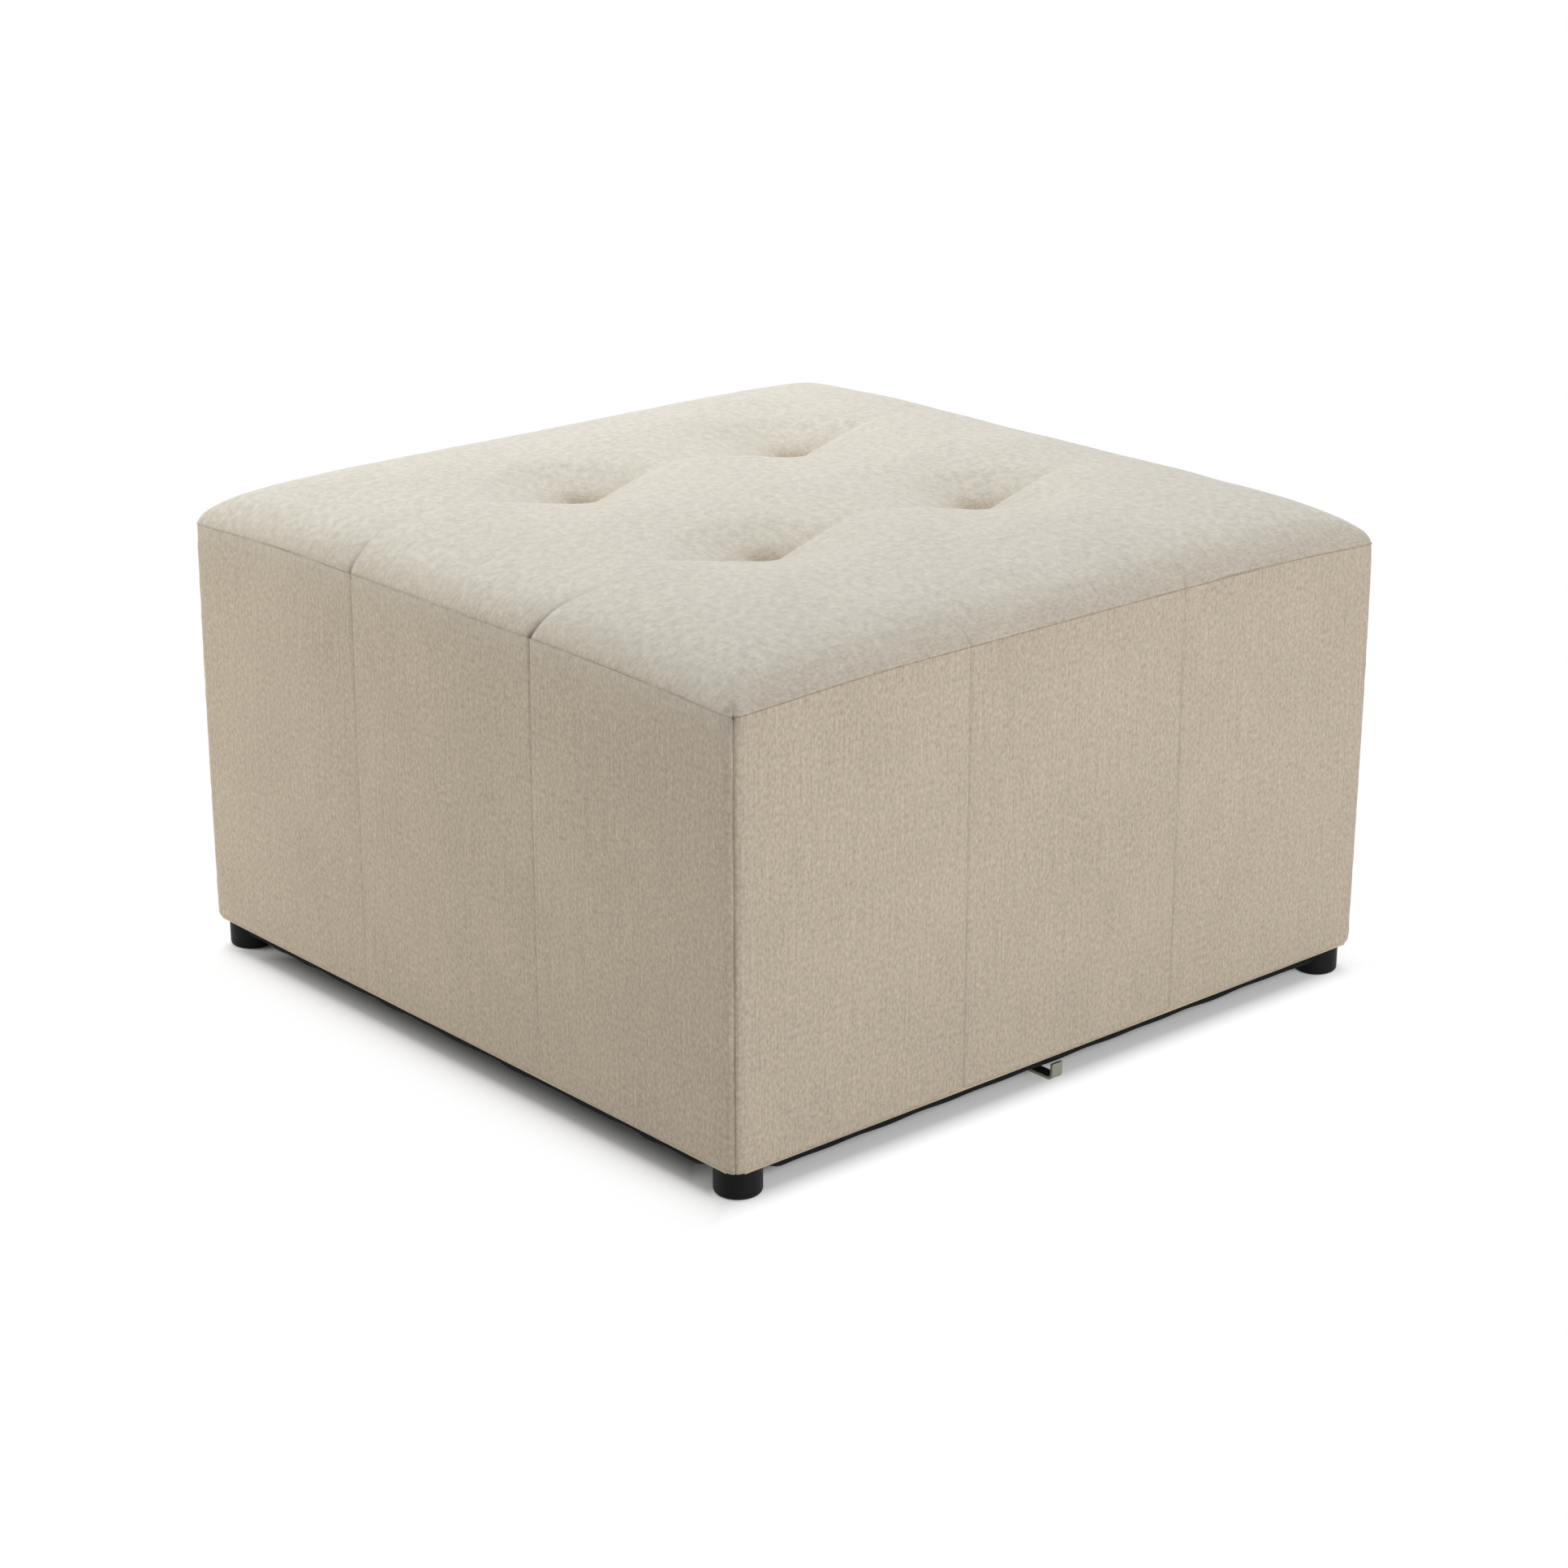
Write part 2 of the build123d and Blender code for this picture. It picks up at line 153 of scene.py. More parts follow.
def from_screen(red: float, green: float, blue: float) -> Colour:
    """Turns a colour as a screen shows it into a linear one.

    Args:
        red: Red from 0 to 255.
        green: Green from 0 to 255.
        blue: Blue from 0 to 255.

    Returns:
        The linear colour, with full alpha.
    """
    parts = [value / 255 for value in (red, green, blue)]
    linear = [p / 12.92 if p <= 0.04045 else ((p + 0.055) / 1.055) ** 2.4 for p in parts]
    return (linear[0], linear[1], linear[2], 1.0)


def toned(colour: Colour, factor: float) -> Colour:
    """The colour made lighter or darker by a factor."""
    return (colour[0] * factor, colour[1] * factor, colour[2] * factor, 1.0)


class Wire:
    """An output socket that takes part in Python expressions; each one adds its Math node."""

    def __init__(self, graph: "NodeGraph", socket: bpy.types.NodeSocket) -> None:
        """Keeps the graph and the socket."""
        self.graph = graph
        self.socket = socket

    def _math(self, operation: str, left: "Operand", right: "Operand") -> "Wire":
        """Adds a Math node on two operands."""
        return self.graph.node("ShaderNodeMath", {"operation": operation}, {0: left, 1: right})

    def __add__(self, other: "Operand") -> "Wire":
        """Sum."""
        return self._math("ADD", self, other)

    def __radd__(self, other: "Operand") -> "Wire":
        """Sum with a number on the left."""
        return self._math("ADD", other, self)

    def __sub__(self, other: "Operand") -> "Wire":
        """Difference."""
        return self._math("SUBTRACT", self, other)

    def __rsub__(self, other: "Operand") -> "Wire":
        """Difference from a number on the left."""
        return self._math("SUBTRACT", other, self)

    def __mul__(self, other: "Operand") -> "Wire":
        """Product."""
        return self._math("MULTIPLY", self, other)

    def __rmul__(self, other: "Operand") -> "Wire":
        """Product with a number on the left."""
        return self._math("MULTIPLY", other, self)

    def at_most(self, other: "Operand") -> "Wire":
        """The lower of the two."""
        return self._math("MINIMUM", self, other)

    def at_least(self, other: "Operand") -> "Wire":
        """The higher of the two."""
        return self._math("MAXIMUM", self, other)


Operand = Union[Wire, float]


class NodeGraph:
    """A node tree whose nodes are added through one method."""

    def __init__(self, tree: bpy.types.NodeTree) -> None:
        """Keeps the tree and empties it."""
        self.tree = tree
        tree.nodes.clear()

    def node(
        self,
        kind: str,
        settings: dict[str, Any] | None = None,
        sockets: dict[int | str, Any] | None = None,
        output: int | str = 0,
    ) -> Wire:
        """Adds a node, sets it up and links it.

        Args:
            kind: The node's type name.
            settings: Its properties, set first; "stops" holds a ramp's places and colours.
            sockets: Values or wires for its inputs, by name or index.
            output: The output to hand back, by name or index.

        Returns:
            The wire from that output.
        """
        made = self.tree.nodes.new(kind)
        for name, value in (settings or {}).items():
            if name == "stops":
                self._set_stops(made.color_ramp, value)
            else:
                setattr(made, name, value)
        for key, value in (sockets or {}).items():
            target = made.inputs[key]
            if isinstance(value, Wire):
                self.tree.links.new(value.socket, target)
            else:
                target.default_value = value
        return Wire(self, made.outputs[output] if len(made.outputs) else None)

    @staticmethod
    def _set_stops(ramp: bpy.types.ColorRamp, stops: Sequence[tuple[float, Colour]]) -> None:
        """Gives a colour ramp its stops.

        Args:
            ramp: The ramp.
            stops: A place and a colour for each.
        """
        while len(ramp.elements) < len(stops):
            ramp.elements.new(1.0)
        for element, (place, colour) in zip(ramp.elements, stops):
            element.position = place
            element.color = colour


class Finish(NodeGraph):
    """A material's tree, with the nodes that the finishes share."""

    OCTAVE_FALL = 0.55

    def __init__(self, name: str) -> None:
        """Makes the material.

        Args:
            name: The material's name.
        """
        self.made = bpy.data.materials.new(name)
        self.made.use_nodes = True
        super().__init__(self.made.node_tree)

    def place(self) -> Wire:
        """Object coordinates, in metres."""
        return self.node("ShaderNodeTexCoord", output="Object")

    def weave_place(self) -> Wire:
        """The cloth's own coordinates, in metres along and across the piece."""
        return self.node("ShaderNodeUVMap", {"uv_map": CLOTH_MAP})

    def attribute(self, name: str) -> Wire:
        """A number kept on the mesh's points."""
        return self.node("ShaderNodeAttribute", {"attribute_name": name}, output="Fac")

    def scaled(self, vector: Wire, sizes: Sequence[float]) -> Wire:
        """Coordinates that count in steps of the given sizes.

        Args:
            vector: Coordinates in metres.
            sizes: The step along each axis, in metres.

        Returns:
            The scaled coordinates.
        """
        return self.node("ShaderNodeMapping", {}, {"Vector": vector, "Scale": [1 / size for size in sizes]})

    def noise(
        self, vector: Wire, sizes: Sequence[float], detail: float = 2.0, distortion: float = 0.0
    ) -> Wire:
        """Soft noise around one half: flat where it has two sizes, solid where it has three.

        Args:
            vector: Coordinates in metres.
            sizes: The size of its patches along each axis, in metres.
            detail: How many octaves.
            distortion: How far the pattern is warped.

        Returns:
            The noise value.
        """
        flat = len(sizes) == 2
        place = self.scaled(vector, (*sizes, 1.0) if flat else sizes)
        sockets = {"Vector": place, "Scale": 1.0, "Detail": detail, "Distortion": distortion}
        sockets["Roughness"] = self.OCTAVE_FALL
        return self.node("ShaderNodeTexNoise", {"noise_dimensions": "2D" if flat else "3D"}, sockets)

    def mix(self, factor: Operand, first: Any, second: Any) -> Wire:
        """A colour between two others."""
        settings = {"data_type": "RGBA", "clamp_factor": True}
        return self.node("ShaderNodeMix", settings, {0: factor, 6: first, 7: second}, 2)

    def shades(self, factor: Operand, colour: Colour, low: float, high: float) -> Wire:
        """One colour in two strengths, mixed by a value."""
        return self.mix(factor, toned(colour, low), toned(colour, high))

    def ramp(self, factor: Wire, stops: Sequence[tuple[float, Colour]]) -> Wire:
        """A colour ramp over a value."""
        return self.node("ShaderNodeValToRGB", {"stops": stops}, {"Fac": factor})

    def bump(self, height: Wire, distance: float, strength: float = 1.0) -> Wire:
        """A bumped normal.

        Args:
            height: The relief, from 0 to 1.
            distance: What 1 stands for, in metres.
            strength: How much of it shows.

        Returns:
            The normal.
        """
        return self.node("ShaderNodeBump", {}, {"Strength": strength, "Distance": distance, "Height": height})

    def surface(self, **sockets: Any) -> bpy.types.Material:
        """Ends the tree in a Principled surface.

        Args:
            **sockets: Its inputs, with underscores for the blanks in their names.

        Returns:
            The finished material.
        """
        named = {key.replace("_", " "): value for key, value in sockets.items()}
        shader = self.node("ShaderNodeBsdfPrincipled", {}, named)
        self.node("ShaderNodeOutputMaterial", {}, {"Surface": shader})
        return self.made


@dataclass(frozen=True)
class WovenCloth:
    """Greige upholstery cloth: fine threads, slubs along the warp and a brushed mottle.

    Attributes:
        name: The material's name.
        edge: The cloth's colour where it is not brushed: the sides, the seams, and the tufts, where it is
            painted shade.
        shade: Its colour where it is brushed: lighter and cooler, partly painted top light.
        sheen: Weight of the cloth's sheen.
        slub: Width and length of a slub, in metres.
        slub_contrast: How much the slubs change the colour.
        mottle: Width and length of a brushed patch, in metres.
        mottle_contrast: How much the patches change the colour.
        cloud: Width and length of a wide, faint patch, in metres.
        cloud_contrast: How much those change the colour.
        thread: Width of a thread, in metres.
        thread_contrast: How much single threads change the colour.
        float_length: How many threads a thread passes over.
        rib: Width and length of a warp line, in threads.
        rib_contrast: How much the warp lines change the colour.
        pore: Width and length of the gaps between threads, in metres.
        pore_contrast: How much the gaps change the colour.
        tones: How dark and how light the cloth's colour goes.
        nap_cover: How much of the threads the brushed pile hides.
        flat_mottle: How much of the mottle shows where the cloth is not brushed.
        relief: Height of the weave's bumps.
        painted_shade_tone: How light the cloth still is under the full painted shade of a seam, fold or
            corner dimple.
    """

    name: str
    edge: Colour
    shade: Colour
    sheen: float
    slub: tuple[float, float] = (2.6 * MM, 4.2 * MM)
    slub_contrast: float = 0.68
    mottle: tuple[float, float] = (8 * MM, 8 * MM)
    mottle_contrast: float = 0.46
    cloud: tuple[float, float] = (90 * MM, 120 * MM)
    cloud_contrast: float = 0.10
    thread: float = 1.0 * MM
    thread_contrast: float = 0.06
    float_length: float = 5
    rib: tuple[float, float] = (1.6, 70)
    rib_contrast: float = 0.24
    pore: tuple[float, float] = (0.35 * MM, 0.5 * MM)
    pore_contrast: float = 0.05
    tones: tuple[float, float] = (0.5, 1.5)
    nap_and_painted_light_cover: float = 0.65
    flat_mottle: float = 0.3
    relief: float = 0.22 * MM
    painted_shade_tone: float = 0.30

    def material(self) -> bpy.types.Material:
        """Builds the material.

        Returns:
            The material.
        """
        graph = Finish(self.name)
        place = graph.weave_place()
        slub = graph.noise(place, self.slub, 3.0)
        mottle = graph.noise(place, self.mottle, 3.0, 0.3)
        cloud = graph.noise(place, self.cloud)
        rib = graph.noise(place, [threads * self.thread for threads in self.rib], 1.0)
        over = self.float_length * self.thread
        warp = graph.noise(place, (self.thread, over), 1.0)
        weft = graph.noise(place, (over, self.thread), 1.0)
        pores = graph.noise(place, self.pore, 1.0)
        # How brushed the cloth looks: the lighter top is partly painted light, and the darker tufts are
        # painted shade.
        nap_and_light = graph.attribute(NAP_AND_PAINTED_LIGHT)
        threads = (slub - 0.5) * self.slub_contrast + (rib - 0.5) * self.rib_contrast
        patches = (mottle - 0.5) * (nap_and_light * (1 - self.flat_mottle) + self.flat_mottle)
        tone = threads * (1.0 - nap_and_light * self.nap_and_painted_light_cover) + patches * self.mottle_contrast
        tone = tone + (cloud - 0.5) * self.cloud_contrast + (pores - 0.5) * self.pore_contrast
        tone = tone + (warp - 0.5) * self.thread_contrast + (weft - 0.5) * self.thread_contrast + 0.5
        dark, light = (graph.mix(nap_and_light, toned(self.edge, k), toned(self.shade, k)) for k in self.tones)
        cloth = graph.mix(tone, dark, light)
        relief = warp * 0.40 + weft * 0.25 + slub * 0.35 + mottle * 0.25 + pores * 0.15
        # The seams, edge folds and corner dimples are darkened with painted shade.
        return graph.surface(
            Base_Color=graph.mix(graph.attribute(PAINTED_SEAM_SHADE), cloth, toned(self.shade, self.painted_shade_tone)),
            Roughness=(pores * 0.12 + 0.82).at_most(1.0),
            Normal=graph.bump(relief, self.relief, 0.7),
            Sheen_Weight=self.sheen,
            Sheen_Roughness=0.45,
            Sheen_Tint=(0.95, 0.97, 1.0, 1.0),
            Specular_IOR_Level=0.18,
        )


@dataclass(frozen=True)
class SewingThread:
    """Spun polyester thread with a slight lustre along its twist."""

    name: str
    shade: Colour
    twist: float = 0.5 * MM

    def material(self) -> bpy.types.Material:
        """Builds the material.

        Returns:
            The material.
        """
        graph = Finish(self.name)
        ply = graph.noise(graph.place(), (self.twist,) * 3, 1.0)
        return graph.surface(
            Base_Color=graph.shades(ply, self.shade, 0.75, 1.2),
            Roughness=ply * 0.2 + 0.5,
            Normal=graph.bump(ply, 0.1 * MM, 0.5),
            Sheen_Weight=0.2,
        )


@dataclass(frozen=True)
class NonWoven:
    """Spun-bonded dust cloth: a random web of fibres with point bonds in rows."""

    name: str
    shade: Colour
    bond: float = 1.6 * MM
    fibre: tuple[float, float, float] = (0.4 * MM, 2.2 * MM, 1.0)

    def material(self) -> bpy.types.Material:
        """Builds the material.

        Returns:
            The material.
        """
        graph = Finish(self.name)
        place = graph.place()
        web = graph.noise(place, self.fibre, 3.0, 1.5)
        cells = graph.scaled(place, (self.bond, self.bond, 1.0))
        bonds = graph.node(
            "ShaderNodeTexVoronoi", {"voronoi_dimensions": "2D"}, {"Vector": cells, "Randomness": 0.15}
        )
        pressed = 1.0 - (bonds * 2.4).at_most(1.0)
        return graph.surface(
            Base_Color=graph.shades(web * 0.8 + pressed * 0.3, self.shade, 0.55, 1.7),
            Roughness=0.92 - pressed * 0.25,
            Normal=graph.bump(web * 0.4 - pressed * 0.6, 0.2 * MM, 0.6),
            Specular_IOR_Level=0.25,
        )


@dataclass(frozen=True)
class MouldedPlastic:
    """Injection-moulded plastic with a spark-eroded grain and faint scuffs."""

    name: str
    shade: Colour
    grain: float = 0.45 * MM
    scuff: tuple[float, float, float] = (9 * MM, 9 * MM, 1.2 * MM)
    roughness: float = 0.5

    def material(self) -> bpy.types.Material:
        """Builds the material.

        Returns:
            The material.
        """
        graph = Finish(self.name)
        place = graph.place()
        grain = graph.noise(place, (self.grain,) * 3)
        scuffs = graph.noise(place, self.scuff, 3.0, 1.0)
        rubbed = ((scuffs - 0.58) * 4.0).at_least(0.0).at_most(1.0)
        return graph.surface(
            Base_Color=graph.shades(rubbed * 0.5 + grain * 0.2, self.shade, 1.0, 2.2),
            Roughness=grain * 0.12 + rubbed * 0.2 + (self.roughness - 0.06),
            Normal=graph.bump(grain, 0.08 * MM, 0.5),
            Specular_IOR_Level=0.14,
        )


@dataclass(frozen=True)
class PlatedSteel:
    """Zinc-plated steel: a soft spangle, brushed streaks and dulled patches."""

    name: str
    shade: Colour
    spangle: float = 2.4 * MM
    streak: tuple[float, float, float] = (6 * MM, 0.25 * MM, 6 * MM)
    patch: float = 7 * MM
    roughness: float = 0.38

    def material(self) -> bpy.types.Material:
        """Builds the material.

        Returns:
            The material.
        """
        graph = Finish(self.name)
        place = graph.place()
        flakes = graph.node(
            "ShaderNodeTexVoronoi", {}, {"Vector": graph.scaled(place, (self.spangle,) * 3)}, "Color"
        )
        flake = graph.node("ShaderNodeSeparateColor", {}, {0: flakes})
        streak = graph.noise(place, self.streak)
        dull = graph.noise(place, (self.patch,) * 3, 3.0, 0.8)
        return graph.surface(
            Base_Color=graph.shades(flake * 0.35 + streak * 0.35 + dull * 0.3, self.shade, 0.72, 1.2),
            Metallic=1.0,
            Roughness=dull * 0.25 + flake * 0.08 + (self.roughness - 0.14),
            Normal=graph.bump(streak * 0.5 + dull * 0.5, 0.06 * MM, 0.4),
        )


class Grain(Enum):
    """The axis that a piece of wood runs along."""

    ALONG_X = 0
    ALONG_Y = 1
    ALONG_Z = 2


@dataclass(frozen=True)
class PlanedWood:
    """Planed softwood or hardwood with growth rings, pores and saw marks.

    Attributes:
        name: The material's name.
        early: Colour of the early wood.
        late: Colour of the late wood.
        grain: The axis that the wood runs along.
        ring: Width of a growth ring.
        stretch: How many times longer than wide the figure is.
        pore: Width and length of a pore.
    """

    name: str
    early: Colour
    late: Colour
    grain: Grain
    ring: float = 5 * MM
    stretch: float = 41
    pore: tuple[float, float] = (0.5 * MM, 25 * MM)

    def along_grain(self, width: float, length: float) -> list[float]:
        """A size for each axis: the length along the grain and the width across it."""
        return [length if axis == self.grain.value else width for axis in range(3)]

    def material(self) -> bpy.types.Material:
        """Builds the material.

        Returns:
            The material.
        """
        graph = Finish(self.name)
        place = graph.place()
        figure = self.along_grain(self.ring, self.stretch * self.ring)
        drift = graph.noise(place, figure, 2.0, 0.4)
        rounds = graph.scaled(place, [6 * size for size in figure])
        rings = graph.node(
            "ShaderNodeTexWave",
            {"wave_type": "RINGS", "rings_direction": "SPHERICAL"},
            {"Vector": rounds, "Scale": 1.0, "Distortion": 4.0, "Detail": 2.0},
            "Fac",
        )
        pores = graph.noise(place, self.along_grain(*self.pore))
        band = rings * 0.5 + drift * 0.35 + pores * 0.15
        return graph.surface(
            Base_Color=graph.ramp(
                band, [(0.25, self.early), (0.62, self.late), (0.85, toned(self.late, 0.7))]
            ),
            Roughness=pores * 0.25 + 0.5,
            Normal=graph.bump(pores * 0.7 + rings * 0.3, 0.15 * MM, 0.5),
            Specular_IOR_Level=0.35,
        )


@dataclass(frozen=True)
class PressedBoard:
    """Hardboard: pressed fibres, dark and even, with lighter flecks."""

    name: str
    shade: Colour
    fibre: float = 1.2 * MM

    def material(self) -> bpy.types.Material:
        """Builds the material.

        Returns:
            The material.
        """
        graph = Finish(self.name)
        fibres = graph.noise(graph.place(), (self.fibre, 2 * self.fibre, self.fibre), 4.0, 1.2)
        return graph.surface(
            Base_Color=graph.shades(fibres, self.shade, 0.6, 1.6),
            Roughness=0.75 - fibres * 0.2,
            Normal=graph.bump(fibres, 0.12 * MM, 0.5),
        )


@dataclass(frozen=True)
class OpenFoam:
    """Cut polyurethane foam: open cells and a slightly yellowed skin."""

    name: str
    shade: Colour = from_screen(228, 216, 178)
    cell: float = 1.3 * MM
    patch: float = 60 * MM

    def material(self) -> bpy.types.Material:
        """Builds the material.

        Returns:
            The material.
        """
        graph = Finish(self.name)
        place = graph.place()
        cells = graph.node("ShaderNodeTexVoronoi", {}, {"Vector": graph.scaled(place, (self.cell,) * 3)})
        ageing = graph.noise(place, (self.patch,) * 3)
        return graph.surface(
            Base_Color=graph.shades((1.0 - cells) * 0.6 + ageing * 0.4, self.shade, 1.1, 0.7),
            Roughness=cells * 0.1 + 0.85,
            Normal=graph.bump(cells, 0.5 * MM, 0.7),
        )


@dataclass(frozen=True)
class FibreFelt:
    """Loose fibres pressed together: wadding, or the lay of a waxed twine."""

    name: str
    shade: Colour
    fibre: tuple[float, float, float]
    roughness: float = 0.9

    def material(self) -> bpy.types.Material:
        """Builds the material.

        Returns:
            The material.
        """
        graph = Finish(self.name)
        fibres = graph.noise(graph.place(), self.fibre, 4.0, 2.0)
        return graph.surface(
            Base_Color=graph.shades(fibres, self.shade, 0.8, 1.12),
            Roughness=fibres * 0.1 + (self.roughness - 0.05),
            Normal=graph.bump(fibres, 0.4 * MM, 0.6),
            Sheen_Weight=0.15,
        )


def ripple(along: Array, length: float, seed: int, waves: int = 5, peak: float = 2.2) -> Array:
    """An uneven wave of about unit height, the same on every run.

    Args:
        along: Distances in metres.
        length: The usual wave length in metres.
        seed: Picks the phases.
        waves: How many waves it is made of.
        peak: The height that they usually reach together.

    Returns:
        The wave's height at each distance.
    """
    draw = np.random.RandomState(seed)
    total = np.zeros_like(along, dtype=float)
    for _ in range(waves):
        stretch, phase = draw.uniform(0.6, 1.7), draw.uniform(0, TAU)
        total += np.sin(TAU * along / (length * stretch) + phase)
    return total / peak


@dataclass(frozen=True)
class EdgeGrid:
    """Places on a four-sided sheet, and how far they are from its edges.

    Attributes:
        x: Places across.
        y: Places along.
        near_x: Distance to the left or right edge.
        near_y: Distance to the front or back edge.
    """

    x: Array
    y: Array
    near_x: Array
    near_y: Array

    @property
    def near(self) -> Array:
        """Distance to the nearest edge."""
        return np.minimum(self.near_x, self.near_y)

    @property
    def corner(self) -> Array:
        """Distance to the nearest corner."""
        return np.hypot(self.near_x, self.near_y)

    def ripple(self, length: float, seed: int) -> Array:
        """A ripple along the nearest edge; the front and back take the next seed."""
        sideways = self.near_x < self.near_y
        return np.where(sideways, ripple(self.y, length, seed), ripple(self.x, length, seed + 1))


def cusp(offset: Array, width: Array | float) -> Array:
    """A fold's cross-section: 1 at its line, falling off sharply to both sides."""
    return np.exp(-np.abs(offset) / width)


def crowded(start: float, end: float, count: int, share: float = 0.82) -> Array:
    """Places from start to end, closer together near both ends.

    Args:
        start: First place.
        end: Last place.
        count: How many steps.
        share: How strongly they crowd, from 0 to 1.

    Returns:
        The places, with both ends.
    """
    step = np.linspace(0, 1, count + 1)
    eased = (1 - share) * step + share * 0.5 * (1 - np.cos(math.pi * step))
    return start + (end - start) * eased


def joined(*runs: Array) -> Array:
    """Runs of places in one row, without their shared ends."""
    return np.concatenate([runs[0], *[run[1:] for run in runs[1:]]])


def sheet_normals(points: Array) -> Array:
    """Unit normals of a sheet of points, towards its face side.

    Args:
        points: Rows and columns of points.

    Returns:
        The normals.
    """
    across = np.cross(np.gradient(points, axis=1), np.gradient(points, axis=0))
    return across / np.maximum(np.linalg.norm(across, axis=2, keepdims=True), SLIVER)


def sheet_cells(high: int, wide: int) -> Array:
    """The four points round each cell of a sheet.

    Args:
        high: How many rows of points it has.
        wide: How many columns.

    Returns:
        Four point numbers for each cell.
    """
    index = np.arange(high * wide).reshape(high, wide)
    corners = (index[:-1, :-1], index[:-1, 1:], index[1:, 1:], index[1:, :-1])
    return np.stack([corner.ravel() for corner in corners], axis=1)


def in_scene(name: str, data: bpy.types.ID) -> bpy.types.Object:
    """Makes an object of its data and links it to the scene.

    Args:
        name: The object's name.
        data: Its mesh, light or camera.

    Returns:
        The object.
    """
    made = bpy.data.objects.new(name, data)
    bpy.context.scene.collection.objects.link(made)
    return made


@dataclass
class ClothShell:
    """A sheet of points that becomes a closed shell of cloth.

    Attributes:
        name: The piece's name.
        points: Rows and columns of points on the face side.
        weave: The cloth's coordinates at each point, in metres.
        thickness: The cloth's thickness.
        tones: Numbers from 0 to 1 at each point that its material reads, by name.
        cut: Cells of the sheet that are holes.
        folded: Points on lines where the cloth is folded sharply.
        under: The points of the underside, where it isn't one thickness below.
    """

    name: str
    points: Array
    weave: Array
    thickness: float
    tones: dict[str, Array] = field(default_factory=dict)
    cut: Array | None = None
    folded: Array | None = None
    under: Array | None = None

    def faces(self) -> Array:
        """Quads of the two faces and of the rims between them.

        Returns:
            Four point numbers for each quad; the underside's points follow the face side's.
        """
        high, wide = self.points.shape[:2]
        face = sheet_cells(high, wide)
        if self.cut is not None:
            face = face[~self.cut.ravel()]
        start, stop = face.ravel(), np.roll(face, -1, axis=1).ravel()
        total = high * wide
        rim = ~np.isin(start * total + stop, stop * total + start)
        start, stop = start[rim], stop[rim]
        edge = np.stack([stop, start, start + total, stop + total], axis=1)
        return np.concatenate([face, face[:, ::-1] + total, edge])

    def build(self) -> bpy.types.Object:
        """Makes the piece.

        Returns:
            The object, at the origin.
        """
        inner = self.under
        if inner is None:
            inner = self.points - self.thickness * sheet_normals(self.points)
        places = np.concatenate([self.points.reshape(-1, 3), inner.reshape(-1, 3)])
        used, faces = np.unique(self.faces(), return_inverse=True)
        mesh = bpy.data.meshes.new(self.name)
        mesh.from_pydata(places[used].tolist(), [], faces.reshape(-1, 4).tolist())
        mesh.polygons.foreach_set("use_smooth", np.ones(len(mesh.polygons), bool))
        self._add_maps(mesh, used % (len(places) // 2))
        mesh.validate()
        mesh.update()
        return in_scene(self.name, mesh)

    def _add_maps(self, mesh: bpy.types.Mesh, source: Array) -> None:
        """Gives the mesh its cloth coordinates and its tones.

        Args:
            mesh: The mesh.
            source: The sheet's point that each vertex comes from.
        """
        corners = np.zeros(len(mesh.loops), np.int32)
        mesh.loops.foreach_get("vertex_index", corners)
        weave = self.weave.reshape(-1, 2)[source][corners]
        mesh.uv_layers.new(name=CLOTH_MAP).data.foreach_set("uv", weave.ravel())
        for name, values in self.tones.items():
            tone = mesh.attributes.new(name, "FLOAT", "POINT")
            tone.data.foreach_set("value", values.ravel()[source])
        if self.folded is not None:
            ends = np.zeros(2 * len(mesh.edges), np.int32)
            mesh.edges.foreach_get("vertices", ends)
            sharp = self.folded.ravel()[source][ends].reshape(-1, 2).all(axis=1)
            mesh.attributes.new("sharp_edge", "BOOLEAN", "EDGE").data.foreach_set("value", sharp)


